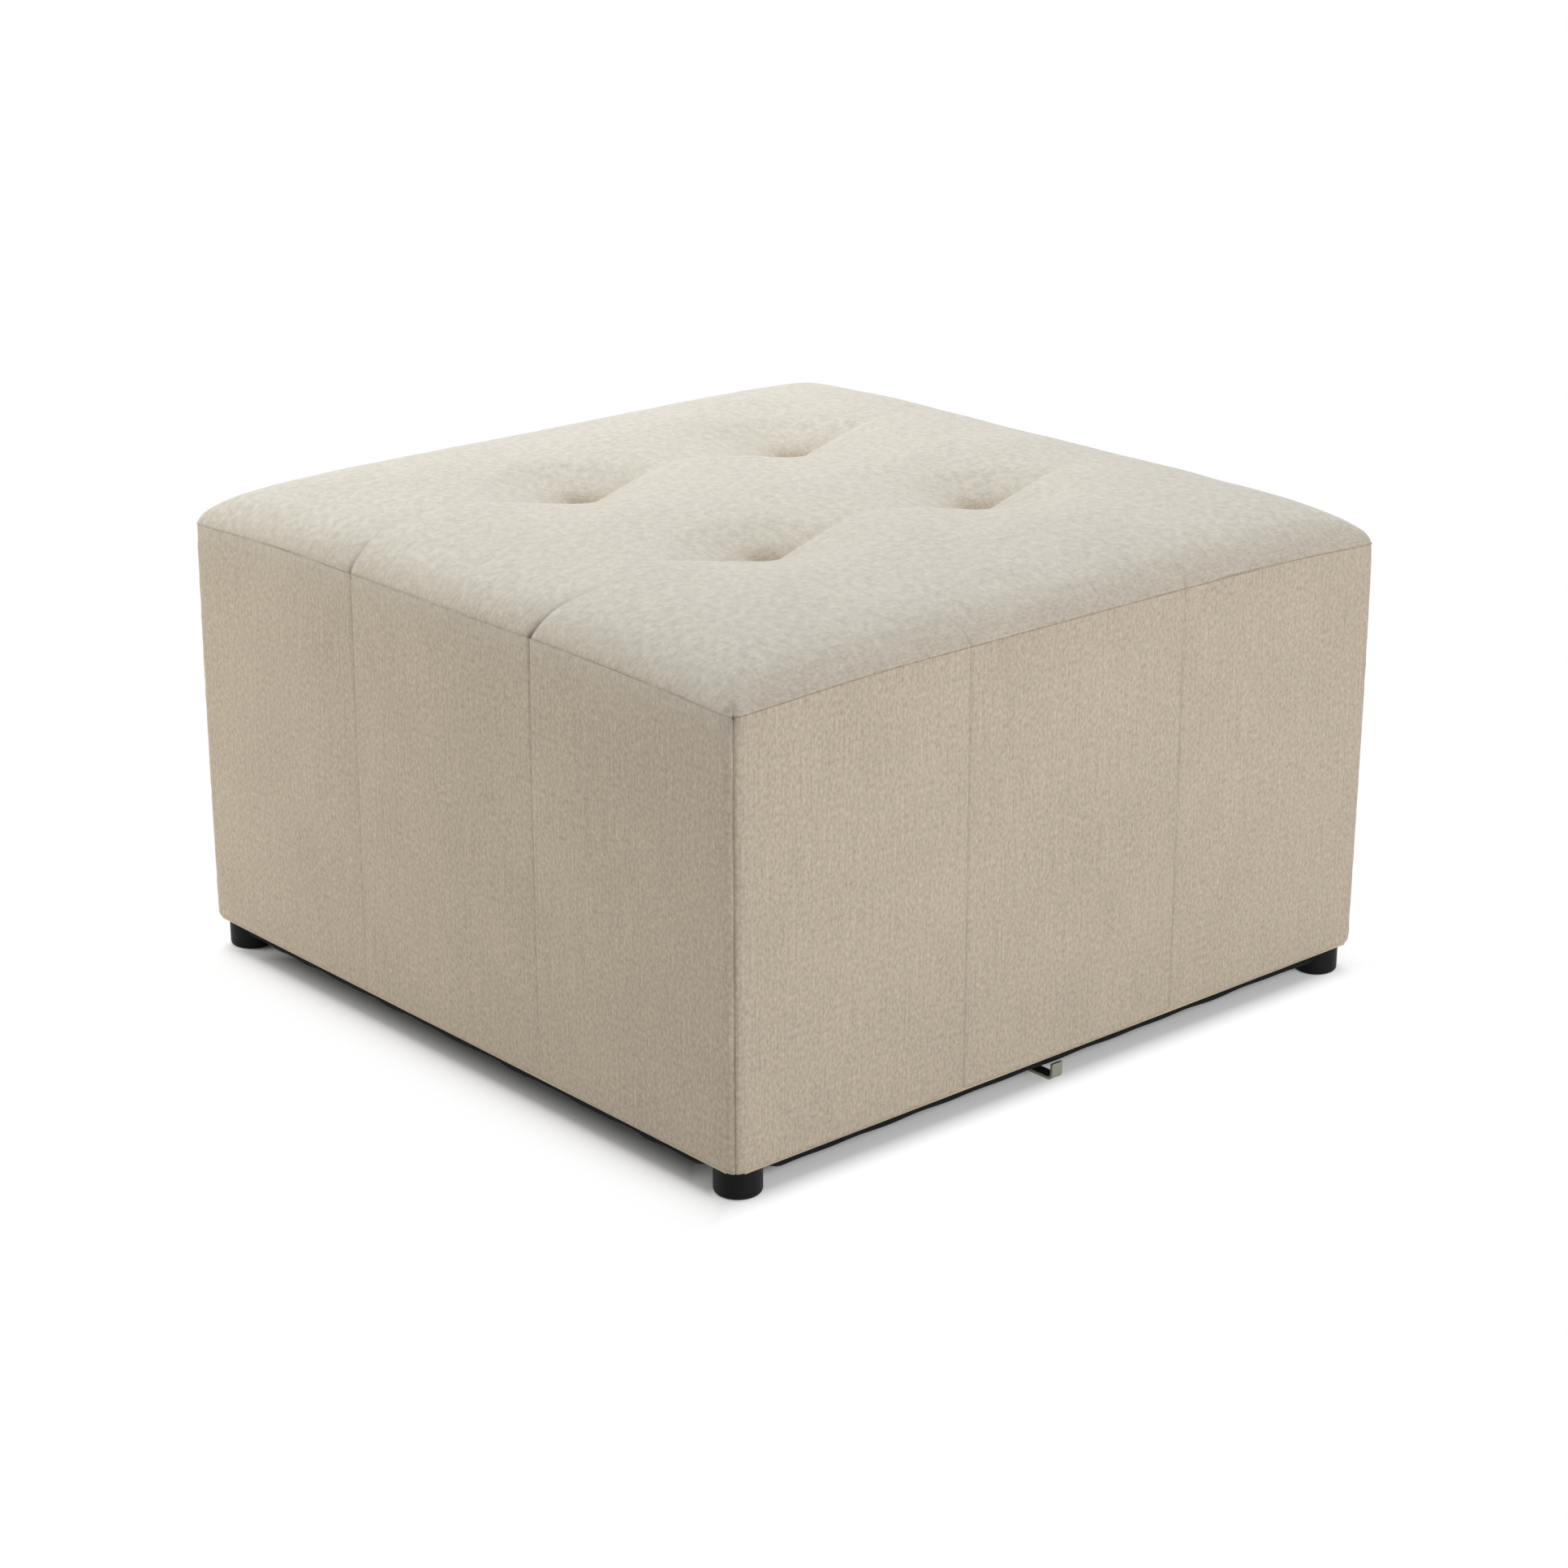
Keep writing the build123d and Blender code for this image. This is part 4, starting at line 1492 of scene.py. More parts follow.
@dataclass
class SideCover:
    """One side of the cover: three sewn panels, rolled under at the bottom.

    Attributes:
        side: Which side it is.
        plan: The sizes shared with the seat.
        finish: The cloth.
        roll: Radius of the lower edge.
        hem: Width of the cloth turned under the frame.
        swell: How far the wall swells half-way up.
        gather: Height, length and reach of the gathers beside a seam.
        gather_slant: How far they slant.
        pucker: Height and length of the puckers under the top seam.
        pucker_reach: How far down from it the puckers begin and end.
        wave: Height and length of the wall's slow waves.
        wave_slant: How far they slant.
        seam_groove: Depth and width of the line of the top seam.
        corner_dent: Depth and width of the dimple where three seams meet.
        painted_seam_shades: How dark the painted shade along a seam is on the front and back, and on the left
            and right.
        seam_fade: What is left of a panel seam low on the front and back, over what length it fades,
            and over what length it is stronger at the top.
        top_painted_shade: The top seam's share of that painted shade.
        painted_shade_width: Width of a seam's painted shade, and of the painted dark spot at a corner.
        spot_width: That spot's width over its height.
        painted_shade_patch: Length of a line's darker and lighter stretches.
        painted_shade_range: The usual share of its darkness, how far that varies, and the least.
        brushed: Strength of the painted highlight of lighter brushed colour under the front's and back's top
            seam, and how far down it reaches.
        least_bend: The smallest radius of a corner.
        tuck: How steeply the cloth turns in behind the top seam.
        weave_step: What keeps the cloth coordinates of two sides apart.
        steps: Steps across one panel.
        levels: Steps up the wall.
        crowding: How strongly those crowd at both ends.
        hem_rows: Rows of the hem.
        curl_rows: Rows of the rolled edge.
        unsewn_rows: Rows at the top without stitches.
        seed_step: How many seeds lie between two sides.
    """

    side: Side
    plan: CoverPlan
    finish: bpy.types.Material
    roll: float = 7 * MM
    hem: float = 20 * MM
    swell: float = 0.8 * MM
    gather: tuple[float, float, float] = (0.22 * MM, 26 * MM, 11 * MM)
    gather_slant: float = 0.3
    pucker: tuple[float, float] = (0.3 * MM, 24 * MM)
    pucker_reach: tuple[float, float] = (2.5 * MM, 8 * MM)
    wave: tuple[float, float] = (0.35 * MM, 170 * MM)
    wave_slant: float = 0.2
    seam_groove: tuple[float, float] = (0.15 * MM, 0.7 * MM)
    corner_dent: tuple[float, float] = (1.5 * MM, 7 * MM)
    painted_seam_shades: tuple[float, float] = (0.45, 0.28)
    seam_fade: tuple[float, float, float] = (0.35, 120 * MM, 14 * MM)
    top_painted_shade: float = 0.12
    painted_shade_width: tuple[float, float] = (0.8 * MM, 2.4 * MM)
    spot_width: float = 0.4
    painted_shade_patch: float = 90 * MM
    painted_shade_range: tuple[float, float, float] = (0.75, 0.35, 0.2)
    brushed: tuple[float, float] = (0.7, 13 * MM)
    least_bend: float = 0.6 * MM
    tuck: float = 0.7
    weave_step: float = 2.0
    steps: int = 44
    levels: int = 64
    crowding: float = 0.86
    hem_rows: int = 4
    curl_rows: int = 9
    unsewn_rows: int = 3
    seed_step: int = 7

    @property
    def sizes(self) -> tuple[float, float]:
        """Half the side's length, and how far it stands from the middle."""
        return self.plan.half if self.side.runs_along_x else self.plan.half[::-1]

    @property
    def painted_seam_shade(self) -> float:
        """How dark the painted shade along this side's seams is."""
        return self.painted_seam_shades[0 if self.side.runs_along_x else 1]

    def stations(self) -> Array:
        """Lays out the columns along the side, round both corners to their seams.

        Returns:
            Their distances from the side's middle.
        """
        span = self.sizes[0]
        end = span - self.plan.corner + self.plan.corner * QUARTER / 2
        marks = (-end, *self.plan.seam_lines(span), end)
        return joined(*(crowded(start, stop, self.steps) for start, stop in zip(marks, marks[1:])))

    def rows(self) -> tuple[Array, Array, Array]:
        """The cross-section from the hem to the top seam.

        Returns:
            For each row, its inset from the wall, its share of the wall's height, which counts down in
            metres below the wall, and how much cloth lies between it and the wall.
        """
        turn = np.linspace(QUARTER, 0, self.curl_rows)
        hem = np.linspace(self.roll + self.hem, self.roll, self.hem_rows + 1)[:-1]
        wall, flat = crowded(0, 1, self.levels, self.crowding)[1:], np.zeros(self.levels)
        inset = np.concatenate([hem, self.roll * (1 - np.cos(turn)), flat])
        share = np.concatenate([np.full(self.hem_rows, -self.roll), -self.roll * np.sin(turn), wall])
        below = np.concatenate([hem + self.roll * (QUARTER - 1), self.roll * turn, flat])
        return inset, share, below

    def points(self) -> tuple[Array, Array, dict[str, Array]]:
        """Works out the side's sheet.

        Returns:
            Its points, cloth coordinates and tones.
        """
        plan = self.plan
        span = self.sizes[0]
        along = self.stations()
        inset, share, below = (values[:, None] for values in self.rows())
        low = plan.base + self.roll
        straight = span - plan.corner
        turn = np.clip((np.abs(along) - straight) / plan.corner, 0, QUARTER / 2)
        reached = np.minimum(np.abs(along), straight) + plan.corner * np.tan(turn)
        top = plan.edge_level(np.sign(along) * reached, span)
        level = np.where(share <= 0, low + share, low + (top - low) * share)
        drop = np.clip(top - level, 0, None)
        lift = np.clip(level - low, 0, None) - below
        grid = np.broadcast_to(along, level.shape)
        depth, shade = self.relief(grid, level, drop)
        depth += inset - plan.bulge(grid, span) - self.swell * np.sin(math.pi * np.clip(share, 0, 1))
        # Painted highlight: the lighter brushed colour just under the front's and back's top seam.
        nap_and_light = self.brushed[0] * np.exp(-drop / self.brushed[1]) * self.side.runs_along_x
        over = plan.allowance
        turned = ((grid, 0), (depth, self.tuck * over), (level, -over), (lift, over), (shade, 0), (nap_and_light, 0))
        grid, depth, level, lift, shade, nap_and_light = (
            np.vstack([values, values[-1:] + step]) for values, step in turned
        )
        weave = np.stack([grid + self.weave_step * self.side.value, lift], axis=2)
        return self.placed(grid, depth, level), weave, {PAINTED_SEAM_SHADE: shade, NAP_AND_PAINTED_LIGHT: nap_and_light}

    def relief(self, grid: Array, level: Array, drop: Array) -> tuple[Array, Array]:
        """The small relief of the seams, with their gathers and puckers.

        Args:
            grid: Distance along the side.
            level: Height.
            drop: Distance down from the top seam.

        Returns:
            Its depth at each point, and the painted shade of the seams and the corner dimples there.
        """
        depth, shade = np.zeros_like(level), np.zeros_like(level)
        turns = self.side.value
        left, fade, start = self.seam_fade
        fading = left + (1 - left) * np.exp(-drop / fade) + np.exp(-drop / start)
        height, length, reach = self.gather
        line, spot = self.painted_shade_width
        usual, varied, least = self.painted_shade_range
        panel_seams = self.plan.seam_lines(self.sizes[0])
        for number, seam in enumerate([*panel_seams, grid[0, 0], grid[0, -1]]):
            at_corner = number >= len(panel_seams)
            draw = self.seed_step * turns + number
            offset = np.abs(grid - seam)
            near = np.exp(-offset / self.plan.groove_width)
            strength = fading if self.side.runs_along_x and not at_corner else 1.0
            depth += self.plan.groove * near * np.minimum(strength, 1.0)
            gather = ripple(level + self.gather_slant * offset, length, Seed.SIDE_GATHER + draw)
            depth -= height * gather * np.exp(-offset / reach) * (1 - near)
            # Painted shade along the seam, in uneven stretches, fainter low on the front and back.
            patchy = usual + varied * ripple(level, self.painted_shade_patch, Seed.SIDE_SHADE + draw)
            darkness = self.painted_seam_shade * np.clip(patchy, least, 1) * strength
            shade = np.maximum(shade, darkness * np.exp(-offset / line))
            if at_corner:
                depth += self.corner_dent[0] * np.exp(-np.hypot(offset, drop) / self.corner_dent[1])
                # A painted dark spot at the corner dimple.
                shade = np.maximum(shade, np.exp(-np.hypot(offset, self.spot_width * drop) / spot))
        begin, end = self.pucker_reach
        pucker = self.pucker[0] * ripple(grid, self.pucker[1], Seed.SIDE_PUCKER + turns)
        depth -= pucker * np.exp(-drop / end) * (1 - np.exp(-drop / begin))
        depth += self.seam_groove[0] * np.exp(-drop / self.seam_groove[1])
        slanted = grid + self.wave_slant * level
        depth -= self.wave[0] * ripple(slanted, self.wave[1], Seed.SIDE_WAVE + turns)
        # Painted shade along the top seam too.
        return depth, np.maximum(shade, self.top_painted_shade * self.painted_seam_shade * np.exp(-drop / line))

    def placed(self, along: Array, depth: Array, level: Array) -> Array:
        """Puts points given along the side and in from its wall into the frame.

        Args:
            along: Distance along the side.
            depth: Distance in from the wall.
            level: Height.

        Returns:
            The points.
        """
        span, stand = self.sizes
        radius = self.plan.corner
        straight = span - radius
        bend = np.maximum(radius - depth, self.least_bend)
        turn = np.clip(np.abs(along) - straight, 0, None) / radius
        centre = span - depth - bend
        x = np.where(
            np.abs(along) <= straight,
            along * centre / straight,
            np.sign(along) * (centre + bend * np.sin(turn)),
        )
        y = -(stand - depth - bend + bend * np.cos(turn))
        for _ in range(self.side.value):
            x, y = -y, x
        return np.stack([x, y, level], axis=2)

    def build(self) -> bpy.types.Object:
        """Returns:
            The piece.
        """
        points, weave, tones = self.points()
        folded = np.zeros(points.shape[:2], bool)
        folded[-2] = True
        folded[:, [0, -1]] = True
        name = f"{self.side.word}_side"
        piece = ClothShell(name, points, weave, self.plan.thickness, tones, folded=folded).build()
        piece.data.materials.append(self.finish)
        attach(piece, Body.FRAME.value)
        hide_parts(f"{self.side.word}_cover")
        return piece

    def seam_paths(self) -> list[Array]:
        """Finds the lines along which the side's stitches show.

        Returns:
            The points of its first corner seam and of its panel seams.
        """
        points, _, _ = self.points()
        wall = slice(self.hem_rows + self.curl_rows, -self.unsewn_rows)
        return [points[wall, column] for column in (0, self.steps, 2 * self.steps)]


class StitchTree(NodeGraph):
    """Geometry nodes that sew a row of stitches along a seam's path."""

    def __init__(self, thread: bpy.types.Material) -> None:
        """Builds the tree.

        Args:
            thread: The thread's material.
        """
        super().__init__(bpy.data.node_groups.new("seam_stitches", "GeometryNodeTree"))
        face = self.tree.interface
        face.new_socket("Geometry", in_out="INPUT", socket_type="NodeSocketGeometry")
        for name, value in STITCH.items():
            face.new_socket(name, in_out="INPUT", socket_type="NodeSocketFloat").default_value = value
        face.new_socket("Seed", in_out="INPUT", socket_type="NodeSocketInt").default_value = STITCH_SEED
        face.new_socket("Geometry", in_out="OUTPUT", socket_type="NodeSocketGeometry")
        self._wire(thread)

    def named_input(self, name: str) -> Wire:
        """One of the tree's own inputs."""
        return self.node("NodeGroupInput", output=name)

    def _wire(self, thread: bpy.types.Material) -> None:
        """Links the nodes.

        Args:
            thread: The thread's material.
        """
        path = self.node("GeometryNodeMeshToCurve", {}, {"Mesh": self.named_input("Geometry")})
        pitch = self.named_input("Pitch")
        row = self.node("GeometryNodeCurveToPoints", {"mode": "LENGTH"}, {"Curve": path, "Length": pitch})
        turned = Wire(self, row.socket.node.outputs["Rotation"])
        thread_ball = self.node("GeometryNodeMeshUVSphere", {}, {"Segments": 6, "Rings": 4, "Radius": 0.5})
        thin = self.named_input("Thickness")
        size = self.node("ShaderNodeCombineXYZ", {}, {0: thin, 1: thin, 2: self.named_input("Length")})
        stitch = self.node("GeometryNodeTransform", {}, {"Geometry": thread_ball, "Scale": size})
        along_row = {"Points": row, "Instance": stitch, "Rotation": turned}
        sewn = self.node("GeometryNodeInstanceOnPoints", {}, along_row)
        slant = self.named_input("Slant")
        limit = self.node("ShaderNodeCombineXYZ", {}, {0: slant, 1: slant, 2: slant})
        least = self.node("ShaderNodeVectorMath", {"operation": "SCALE"}, {0: limit, "Scale": -1.0})
        lean = self.node(
            "FunctionNodeRandomValue",
            {"data_type": "FLOAT_VECTOR"},
            {0: least, 1: limit, "Seed": self.named_input("Seed")},
        )
        leaning = self.node("GeometryNodeRotateInstances", {}, {"Instances": sewn, "Rotation": lean})
        real = self.node("GeometryNodeRealizeInstances", {}, {"Geometry": leaning})
        dressed = self.node("GeometryNodeSetMaterial", {}, {"Geometry": real, "Material": thread})
        self.node("NodeGroupOutput", {}, {0: dressed})

    def sew(self, name: str, paths: Sequence[Array], **sizes: float) -> bpy.types.Object:
        """Sews along the paths.

        Args:
            name: The piece's name.
            paths: Rows of points.
            **sizes: The tree's inputs, by name.

        Returns:
            The stitches as one plain mesh.
        """
        places, edges = [], []
        for path in paths:
            first = len(places)
            places += path.tolist()
            edges += [(first + number, first + number + 1) for number in range(len(path) - 1)]
        line = bpy.data.meshes.new(name + "_path")
        line.from_pydata(places, edges, [])
        carrier = in_scene(name + "_path", line)
        modifier = carrier.modifiers.new("stitches", "NODES")
        modifier.node_group = self.tree
        items = self.tree.interface.items_tree
        known = {item.name: item.identifier for item in items if item.in_out == "INPUT"}
        for size_name, value in sizes.items():
            modifier[known[size_name]] = value
        graph = bpy.context.evaluated_depsgraph_get()
        mesh = bpy.data.meshes.new_from_object(carrier.evaluated_get(graph))
        mesh.name = name
        carrier.modifiers.remove(modifier)
        bpy.data.objects.remove(carrier)
        bpy.data.meshes.remove(line)
        return in_scene(name, mesh)


@dataclass
class DustSheet:
    """The black dust cloth stapled under the frame, slack between its staples and beyond them.

    Attributes:
        finish: Its material.
        feet: Places where the feet's studs pass through it.
        sag: How far its middle hangs.
        droop: How far its edge hangs, and how far that varies.
        droop_reach: How far in from the edge that shows.
        slack: Length of the edge's waves.
        stud_hole: Half the width of a hole for a stud.
        strap: Thickness of the link strap.
        slit_gap: Room round the strap in its slit.
        pin: How far round a staple the cloth is held up.
        foot_hold: How far round a foot it is held up, and how sharply that ends.
        lift: How far it is thinner than the CAD sheet, at its face.
        crown_drop: How far under the CAD sheet a staple's crown is looked for.
        crown_span: The least and the most that a crown's ends are apart.
        line_gap: The least room between two grid lines at a hole.
        steps: Steps along each side.
    """

    finish: bpy.types.Material
    feet: list[tuple[float, float]]
    sag: float = 3 * MM
    droop: tuple[float, float] = (6.4 * MM, 0.9 * MM)
    droop_reach: float = 9 * MM
    slack: float = 70 * MM
    stud_hole: float = 5 * MM
    strap: float = 2.5 * MM
    slit_gap: float = 0.6 * MM
    pin: float = 8 * MM
    foot_hold: tuple[float, int] = (28 * MM, 6)
    lift: float = 0.1 * MM
    crown_drop: float = 0.5 * MM
    crown_span: tuple[float, float] = (5 * MM, 15 * MM)
    line_gap: float = 0.8 * MM
    steps: int = 170

    def openings(self) -> list[tuple[float, float, float, float]]:
        """Finds the holes for the link strap and the studs.

        Returns:
            Lowest x, highest x, lowest y and highest y of each hole.
        """
        size, gap = self.stud_hole, self.slit_gap
        low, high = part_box("link_hook")
        slit = (low.x - gap, low.x + self.strap + gap, low.y - gap, high.y + gap)
        return [slit] + [(x - size, x + size, y - size, y + size) for x, y in self.feet]

    def staples(self) -> Array:
        """Finds the staples in their CAD node.

        Returns:
            Places at the ends and the middle of each staple's crown.
        """
        mesh = frame["nodes"]["dust_cover_staples"].data
        corners = np.zeros(3 * len(mesh.vertices))
        mesh.vertices.foreach_get("co", corners)
        corners = corners.reshape(-1, 3)
        crown = corners[:, 2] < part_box("dust_cover")[0].z - self.crown_drop
        ends = np.unique(np.round(corners[crown, :2], 3), axis=0)
        gaps = np.linalg.norm(ends[:, None] - ends[None], axis=2)
        least, most = self.crown_span
        first, second = np.nonzero((gaps > least) & (gaps < most))
        return np.concatenate([ends, (ends[first] + ends[second]) / 2])

    def lines(self, half: float, edges: list[float]) -> Array:
        """Grid lines across the sheet, some of them on the edges of its holes.

        Args:
            half: Half the sheet's width.
            edges: Places that need a line.

        Returns:
            The places of the lines.
        """
        even = np.linspace(-half, half, self.steps + 1)
        wanted = np.unique(np.round(edges, 6))
        clear = np.min(np.abs(even[:, None] - wanted[None]), axis=1) > self.line_gap
        clear[[0, -1]] = True
        return np.sort(np.concatenate([even[clear], wanted]))

    def build(self) -> bpy.types.Object:
        """Returns:
            The piece.
        """
        low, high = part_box("dust_cover")
        holes = self.openings()
        across = self.lines(high.x, [edge for hole in holes for edge in hole[:2]])
        along = self.lines(high.y, [edge for hole in holes for edge in hole[2:]])
        x, y = np.meshgrid(across, along)
        grid = EdgeGrid(x, y, high.x - np.abs(x), high.y - np.abs(y))
        hang = self.sag * (1 - (x / high.x) ** 2) * (1 - (y / high.y) ** 2)
        edge = self.droop[0] + self.droop[1] * np.clip(grid.ripple(self.slack, Seed.DUST_EDGE), -1, 1)
        hang += edge * np.exp(-grid.near / self.droop_reach)
        nearest = np.full(x.shape, np.inf)
        for place in self.staples():
            nearest = np.minimum(nearest, np.hypot(x - place[0], y - place[1]))
        hang *= 1 - np.exp(-(nearest / self.pin) ** 2)
        reach, sharpness = self.foot_hold
        for place in self.feet:
            hang *= 1 - np.exp(-(np.hypot(x - place[0], y - place[1]) / reach) ** sharpness)
        points = np.stack([x, y, low.z - hang + self.lift], axis=2)
        middle_x, middle_y = np.meshgrid((across[1:] + across[:-1]) / 2, (along[1:] + along[:-1]) / 2)
        cut = np.zeros(middle_x.shape, bool)
        for left, right, front, back in holes:
            cut |= (middle_x > left) & (middle_x < right) & (middle_y > front) & (middle_y < back)
        points, cut = points[:, ::-1], cut[:, ::-1]
        thickness = high.z - low.z - self.lift
        piece = ClothShell("dust_sheet", points, points[..., :2].copy(), thickness, cut=cut).build()
        piece.data.materials.append(self.finish)
        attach(piece, Body.FRAME.value)
        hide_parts("dust_cover")
        return piece


@dataclass
class InnerWork:
    """The CAD nodes that stay: wood, boards, foam, metal and the feet.

    Attributes:
        nodes: All CAD nodes, by name.
        pines: Names of the pine finishes with their grain along X, Y and Z.
    """

    nodes: dict[str, bpy.types.Object]
    pines: tuple[str, str, str] = ("pine_along_x", "pine_along_y", "pine_upright")

    def finishes(self) -> dict[str, bpy.types.Material]:
        """Makes the finishes of the nodes that stay.

        Returns:
            One material for each kind of node.
        """
        pine = (from_screen(226, 192, 142), from_screen(196, 148, 92))
        beech = (from_screen(214, 172, 128), from_screen(186, 138, 96))
        plywood = (from_screen(214, 184, 138), from_screen(190, 150, 102))
        lay = (0.4 * MM, 0.4 * MM, 2 * MM)
        planned = {name: PlanedWood(name, *pine, grain) for name, grain in zip(self.pines, Grain)}
        planned |= {
            Slot.BEECH.value: PlanedWood("beech", *beech, Grain.ALONG_X, 2 * MM),
            Slot.PLY.value: PlanedWood("plywood", *plywood, Grain.ALONG_X, 9 * MM),
            Slot.HARDBOARD.value: PressedBoard("hardboard", from_screen(120, 84, 56)),
            Slot.FOAM.value: OpenFoam("cut_foam"),
            Slot.TWINE.value: FibreFelt("waxed_twine", from_screen(200, 186, 156), lay, 0.55),
            Slot.TOGGLE.value: MouldedPlastic("toggle_plastic", from_screen(214, 210, 200)),
            Slot.FOOT.value: MouldedPlastic("foot_plastic", from_screen(9, 9, 10)),
            Slot.STEEL.value: PlatedSteel("zinc_plating", from_screen(138, 142, 126)),
        }
        return {kind: finish.material() for kind, finish in planned.items()}

    def wood_for(self, name: str) -> str:
        """The pine finish whose grain runs along a node."""
        low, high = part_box(name)
        return self.pines[max(range(3), key=lambda axis: high[axis] - low[axis])]

    def dress(self, kept: Callable[[str], bool]) -> int:
        """Gives every node that stays its finish.

        Args:
            kept: Tells whether a node stays in view.

        Returns:
            How many nodes were dressed.
        """
        made = self.finishes()
        slots = {row["node"]: row["material_slot"] for row in frame["record"]["subparts"]}
        count = 0
        for name, node in self.nodes.items():
            if not kept(name):
                continue
            slot = slots[name]
            material = made[self.wood_for(name)] if slot == Slot.PINE.value else made[slot]
            for place in node.material_slots:
                place.material = material
            count += 1
        return count


@dataclass
class Studio:
    """A white floor, soft lamps and the camera.

    Attributes:
        camera_place: Where the camera stands.
        azimuth: Which way it looks, in degrees.
        pitch: How far it looks down, in degrees.
        focal_pixels: Its focal length, in pixels of the photograph.
        picture_pixels: The photograph's width.
        sensor: The camera's sensor width, in millimetres.
        sight: How far it sees.
        ambient: Strength of the light from all round.
        floor_half: Half the floor's width.
        front_fade: Where the shadow starts to fade before the front, from its wall outwards, and over
            what length.
        side_fade: The same beside the right side.
        side_painted_light: Where painted light starts under that side, over what length, and how much.
        front_painted_shadow: Where the painted deep shadow ends under the front, and over what length.
        side_painted_shadow: The same under the right side.
        light_in_painted_shadow: What is left of the light in the painted deep shadow.
        floor_greys: The floor's grey for bounced light, and as the camera sees it.
    """

    camera_place: Place = (2.22404, -1.95079, 1.21308)
    azimuth: float = 48.647
    pitch: float = 19.455
    focal_pixels: float = 4239.7
    picture_pixels: int = 1932
    sensor: float = 36
    sight: float = 60
    ambient: float = 0.42
    floor_half: float = 30.0
    front_fade: tuple[float, float] = (-9 * MM, 80 * MM)
    side_fade: tuple[float, float] = (-24 * MM, 34 * MM)
    side_painted_light: tuple[float, float, float] = (-43 * MM, 12 * MM, 0.27)
    front_painted_shadow: tuple[float, float] = (-42 * MM, 38 * MM)
    side_painted_shadow: tuple[float, float] = (-100 * MM, 40 * MM)
    light_in_painted_shadow: float = 0.3
    floor_greys: tuple[float, float] = (0.74, 1.3)

    def build(self) -> None:
        """Makes the whole studio."""
        bpy.context.scene.view_settings.view_transform = "Standard"
        self.add_camera()
        self.add_world()
        self.add_floor()
        warm, cool = (1.0, 0.98, 0.94), (1.0, 1.0, 1.04)
        self.add_lamp("top_box", (-1.2, 0.45, 2.2), (-0.1, 0.1, 0.3), size=2.0, power=45.6)
        self.add_lamp("left_box", (-1.5, -1.9, 0.7), (-0.3, -0.35, 0.25), size=1.0, power=15.9, tint=warm)
        self.add_lamp("right_box", (2.5, 0.2, 0.40), (0.35, 0.0, 0.25), size=1.4, power=26.5, tint=cool)

    @staticmethod
    def aimed(name: str, data: bpy.types.ID, place: Place, ahead: Vector) -> bpy.types.Object:
        """Puts a camera or a lamp in its place.

        Args:
            name: Its name.
            data: The camera or the light.
            place: Where it stands.
            ahead: The way that it faces.

        Returns:
            The object.
        """
        made = in_scene(name, data)
        made.location = place
        made.rotation_mode = "QUATERNION"
        made.rotation_quaternion = ahead.to_track_quat("-Z", "Y")
        return made

    def add_camera(self) -> None:
        """Adds the camera at the photograph's angle."""
        lens = bpy.data.cameras.new("camera")
        lens.lens = self.focal_pixels / self.picture_pixels * self.sensor
        lens.sensor_width = self.sensor
        lens.clip_end = self.sight
        turn, down = math.radians(self.azimuth), math.radians(self.pitch)
        level = math.cos(down)
        ahead = Vector((-math.sin(turn) * level, math.cos(turn) * level, -math.sin(down)))
        bpy.context.scene.camera = self.aimed("camera", lens, self.camera_place, ahead)

    def add_world(self) -> None:
        """Adds even light from all round, white to the camera, in metal and through glass."""
        world = bpy.data.worlds.new("studio")
        world.use_nodes = True
        graph = NodeGraph(world.node_tree)
        strength = self.seen_white(graph) * (1.0 - self.ambient) + self.ambient
        light = graph.node("ShaderNodeBackground", {}, {"Color": WHITE, "Strength": strength})
        graph.node("ShaderNodeOutputWorld", {}, {"Surface": light})
        bpy.context.scene.world = world

    @staticmethod
    def seen_white(graph: NodeGraph) -> Wire:
        """Tells which rays see the plain background.

        Args:
            graph: The tree that asks.

        Returns:
            1 for a ray from the camera, from a mirror or through glass.
        """
        path = graph.node("ShaderNodeLightPath", output="Is Camera Ray")
        outputs = path.socket.node.outputs
        mirrored, through = (Wire(graph, outputs[name]) for name in ("Is Glossy Ray", "Is Transmission Ray"))
        return path.at_least(mirrored).at_least(through)

    @staticmethod
    def climb(distance: Wire, start: float, length: float) -> Wire:
        """0 up to a start, and from there up to 1 over a length."""
        return ((distance - start) * (1 / length)).at_least(0.0).at_most(1.0)

    def add_floor(self) -> None:
        """Adds the floor: it takes the shadow near the pouf, with painted shadow and painted light, and is
        plain white further off.
        """
        edge = self.floor_half
        corners = [(-edge, -edge, 0), (edge, -edge, 0), (edge, edge, 0), (-edge, edge, 0)]
        mesh = bpy.data.meshes.new("floor")
        mesh.from_pydata(corners, [], [(0, 1, 2, 3)])
        floor = in_scene("floor", mesh)
        mesh.materials.append(self.floor_finish())

    def floor_finish(self) -> bpy.types.Material:
        """Builds the floor's material, whose shadow is deepened with painted shadow and washed out with
        painted light by the distance to the walls.

        Returns:
            The material.
        """
        graph = Finish("studio_floor")
        size = graph.node("ShaderNodeVectorMath", {"operation": "ABSOLUTE"}, {0: graph.place()})
        parts = graph.node("ShaderNodeSeparateXYZ", {}, {0: size}).socket.node.outputs
        beside, before = (Wire(graph, parts[axis]) - half for axis, half in zip("XY", CAD_BOX[1]))
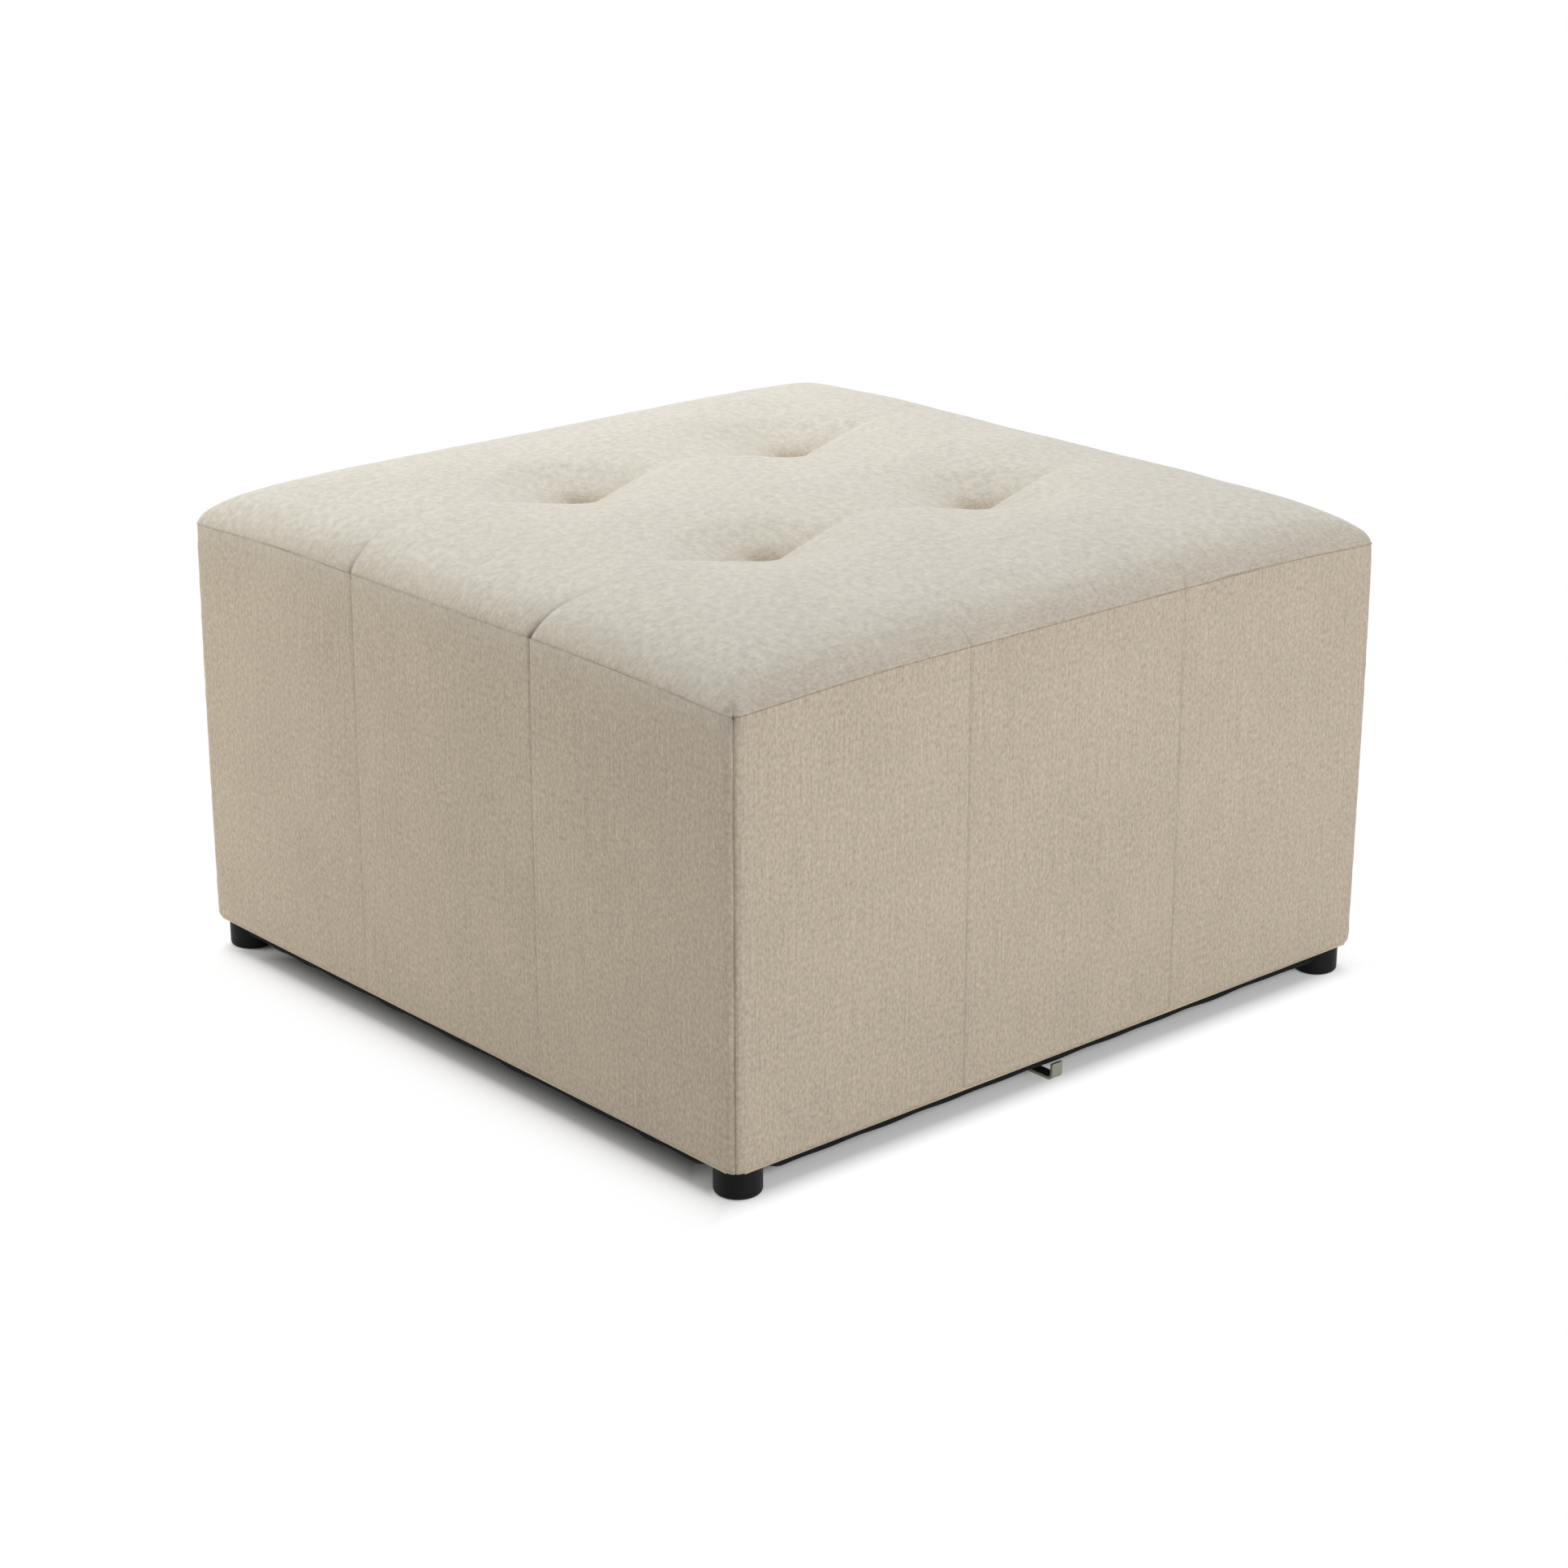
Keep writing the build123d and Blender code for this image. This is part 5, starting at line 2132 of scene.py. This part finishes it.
        # Painted light: white mixed in by the distance from the walls washes out the shadow; far off the
        # floor is plain white.
        under = 1.0 - self.climb(before, *self.front_fade)
        far = (1.0 - under * under * under).at_least(self.climb(beside, *self.side_fade))
        far = far.at_least(self.climb(beside, *self.side_painted_light[:2]) * self.side_painted_light[2])
        open_floor = self.climb(before, *self.front_painted_shadow).at_least(self.climb(beside, *self.side_painted_shadow))
        seen = self.seen_white(graph)
        greys = [toned(WHITE, grey) for grey in self.floor_greys]
        mixed, shown = (graph.node("ShaderNodeBsdfDiffuse", {}, {"Color": grey}) for grey in greys)
        glows = [{"Color": WHITE, "Strength": level} for level in (0.0, 1.0)]
        dark, plain = (graph.node("ShaderNodeEmission", {}, glow) for glow in glows)
        # Painted shadow: black mixed in close under the front and the sides.
        deep = 1.0 - open_floor.at_least(self.light_in_painted_shadow)
        for share, shader in ((seen, shown), (deep * seen, dark), (far * seen, plain)):
            mixed = graph.node("ShaderNodeMixShader", {}, {0: share, 1: mixed, 2: shader})
        graph.node("ShaderNodeOutputMaterial", {}, {"Surface": mixed})
        return graph.made

    def add_lamp(
        self, name: str, place: Place, aim: Place, size: float, power: float, tint: Place = WHITE[:3]
    ) -> None:
        """Adds a square soft box.

        Args:
            name: Its name.
            place: Where it hangs.
            aim: The point that it faces.
            size: Its edge in metres.
            power: Its power in watts.
            tint: The colour of its light.
        """
        light = bpy.data.lights.new(name, "AREA")
        light.shape = "SQUARE"
        light.size = size
        light.energy = power
        light.color = tint
        self.aimed(name, light, place, Vector(aim) - Vector(place))


def main() -> None:
    """Builds every piece in order."""
    logging.basicConfig(level=logging.INFO, format="%(name)s: %(message)s")
    Studio().build()
    plan = CoverPlan.from_frame()
    # The sides' greige and the top's lighter, cooler brushed colour, which is partly painted top light.
    greige, brushed = from_screen(196, 183, 163), from_screen(205, 199, 186)
    side_cloth = WovenCloth("side_cloth", greige, brushed, 0.12).material()
    seat_cloth = WovenCloth("seat_cloth", greige, brushed, 0.35).material()
    thread = SewingThread("cover_thread", from_screen(184, 172, 153)).material()
    wadding = FibreFelt("fibre_wadding", from_screen(236, 236, 232), (3 * MM, 9 * MM, 2 * MM)).material()
    foam = OpenFoam("seat_foam_cut").material()
    pieces = SeatPanel(plan, seat_cloth, wadding, foam).build()
    covers = [SideCover(side, plan, side_cloth) for side in Side]
    pieces += [cover.build() for cover in covers]
    paths = [path for cover in covers for path in cover.seam_paths()]
    stitches = StitchTree(thread).sew("cover_stitches", paths, **STITCH, Seed=STITCH_SEED)
    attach(stitches, Body.FRAME.value)
    foot_boxes = [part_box(name) for name in frame["nodes"] if name.endswith("_foot")]
    feet = [tuple((low + high).xy / 2) for low, high in foot_boxes]
    dust_cloth = NonWoven("dust_cloth", from_screen(24, 24, 25)).material()
    pieces += [stitches, DustSheet(dust_cloth, feet).build()]
    for piece in pieces:
        LOG.info("%s: %d faces", piece.name, len(piece.data.polygons))
    dressed = InnerWork(frame["nodes"]).dress(lambda name: not frame["nodes"][name].hide_render)
    LOG.info("%d CAD nodes keep their shape and get a finish", dressed)


if __name__ == "__main__":
    main()
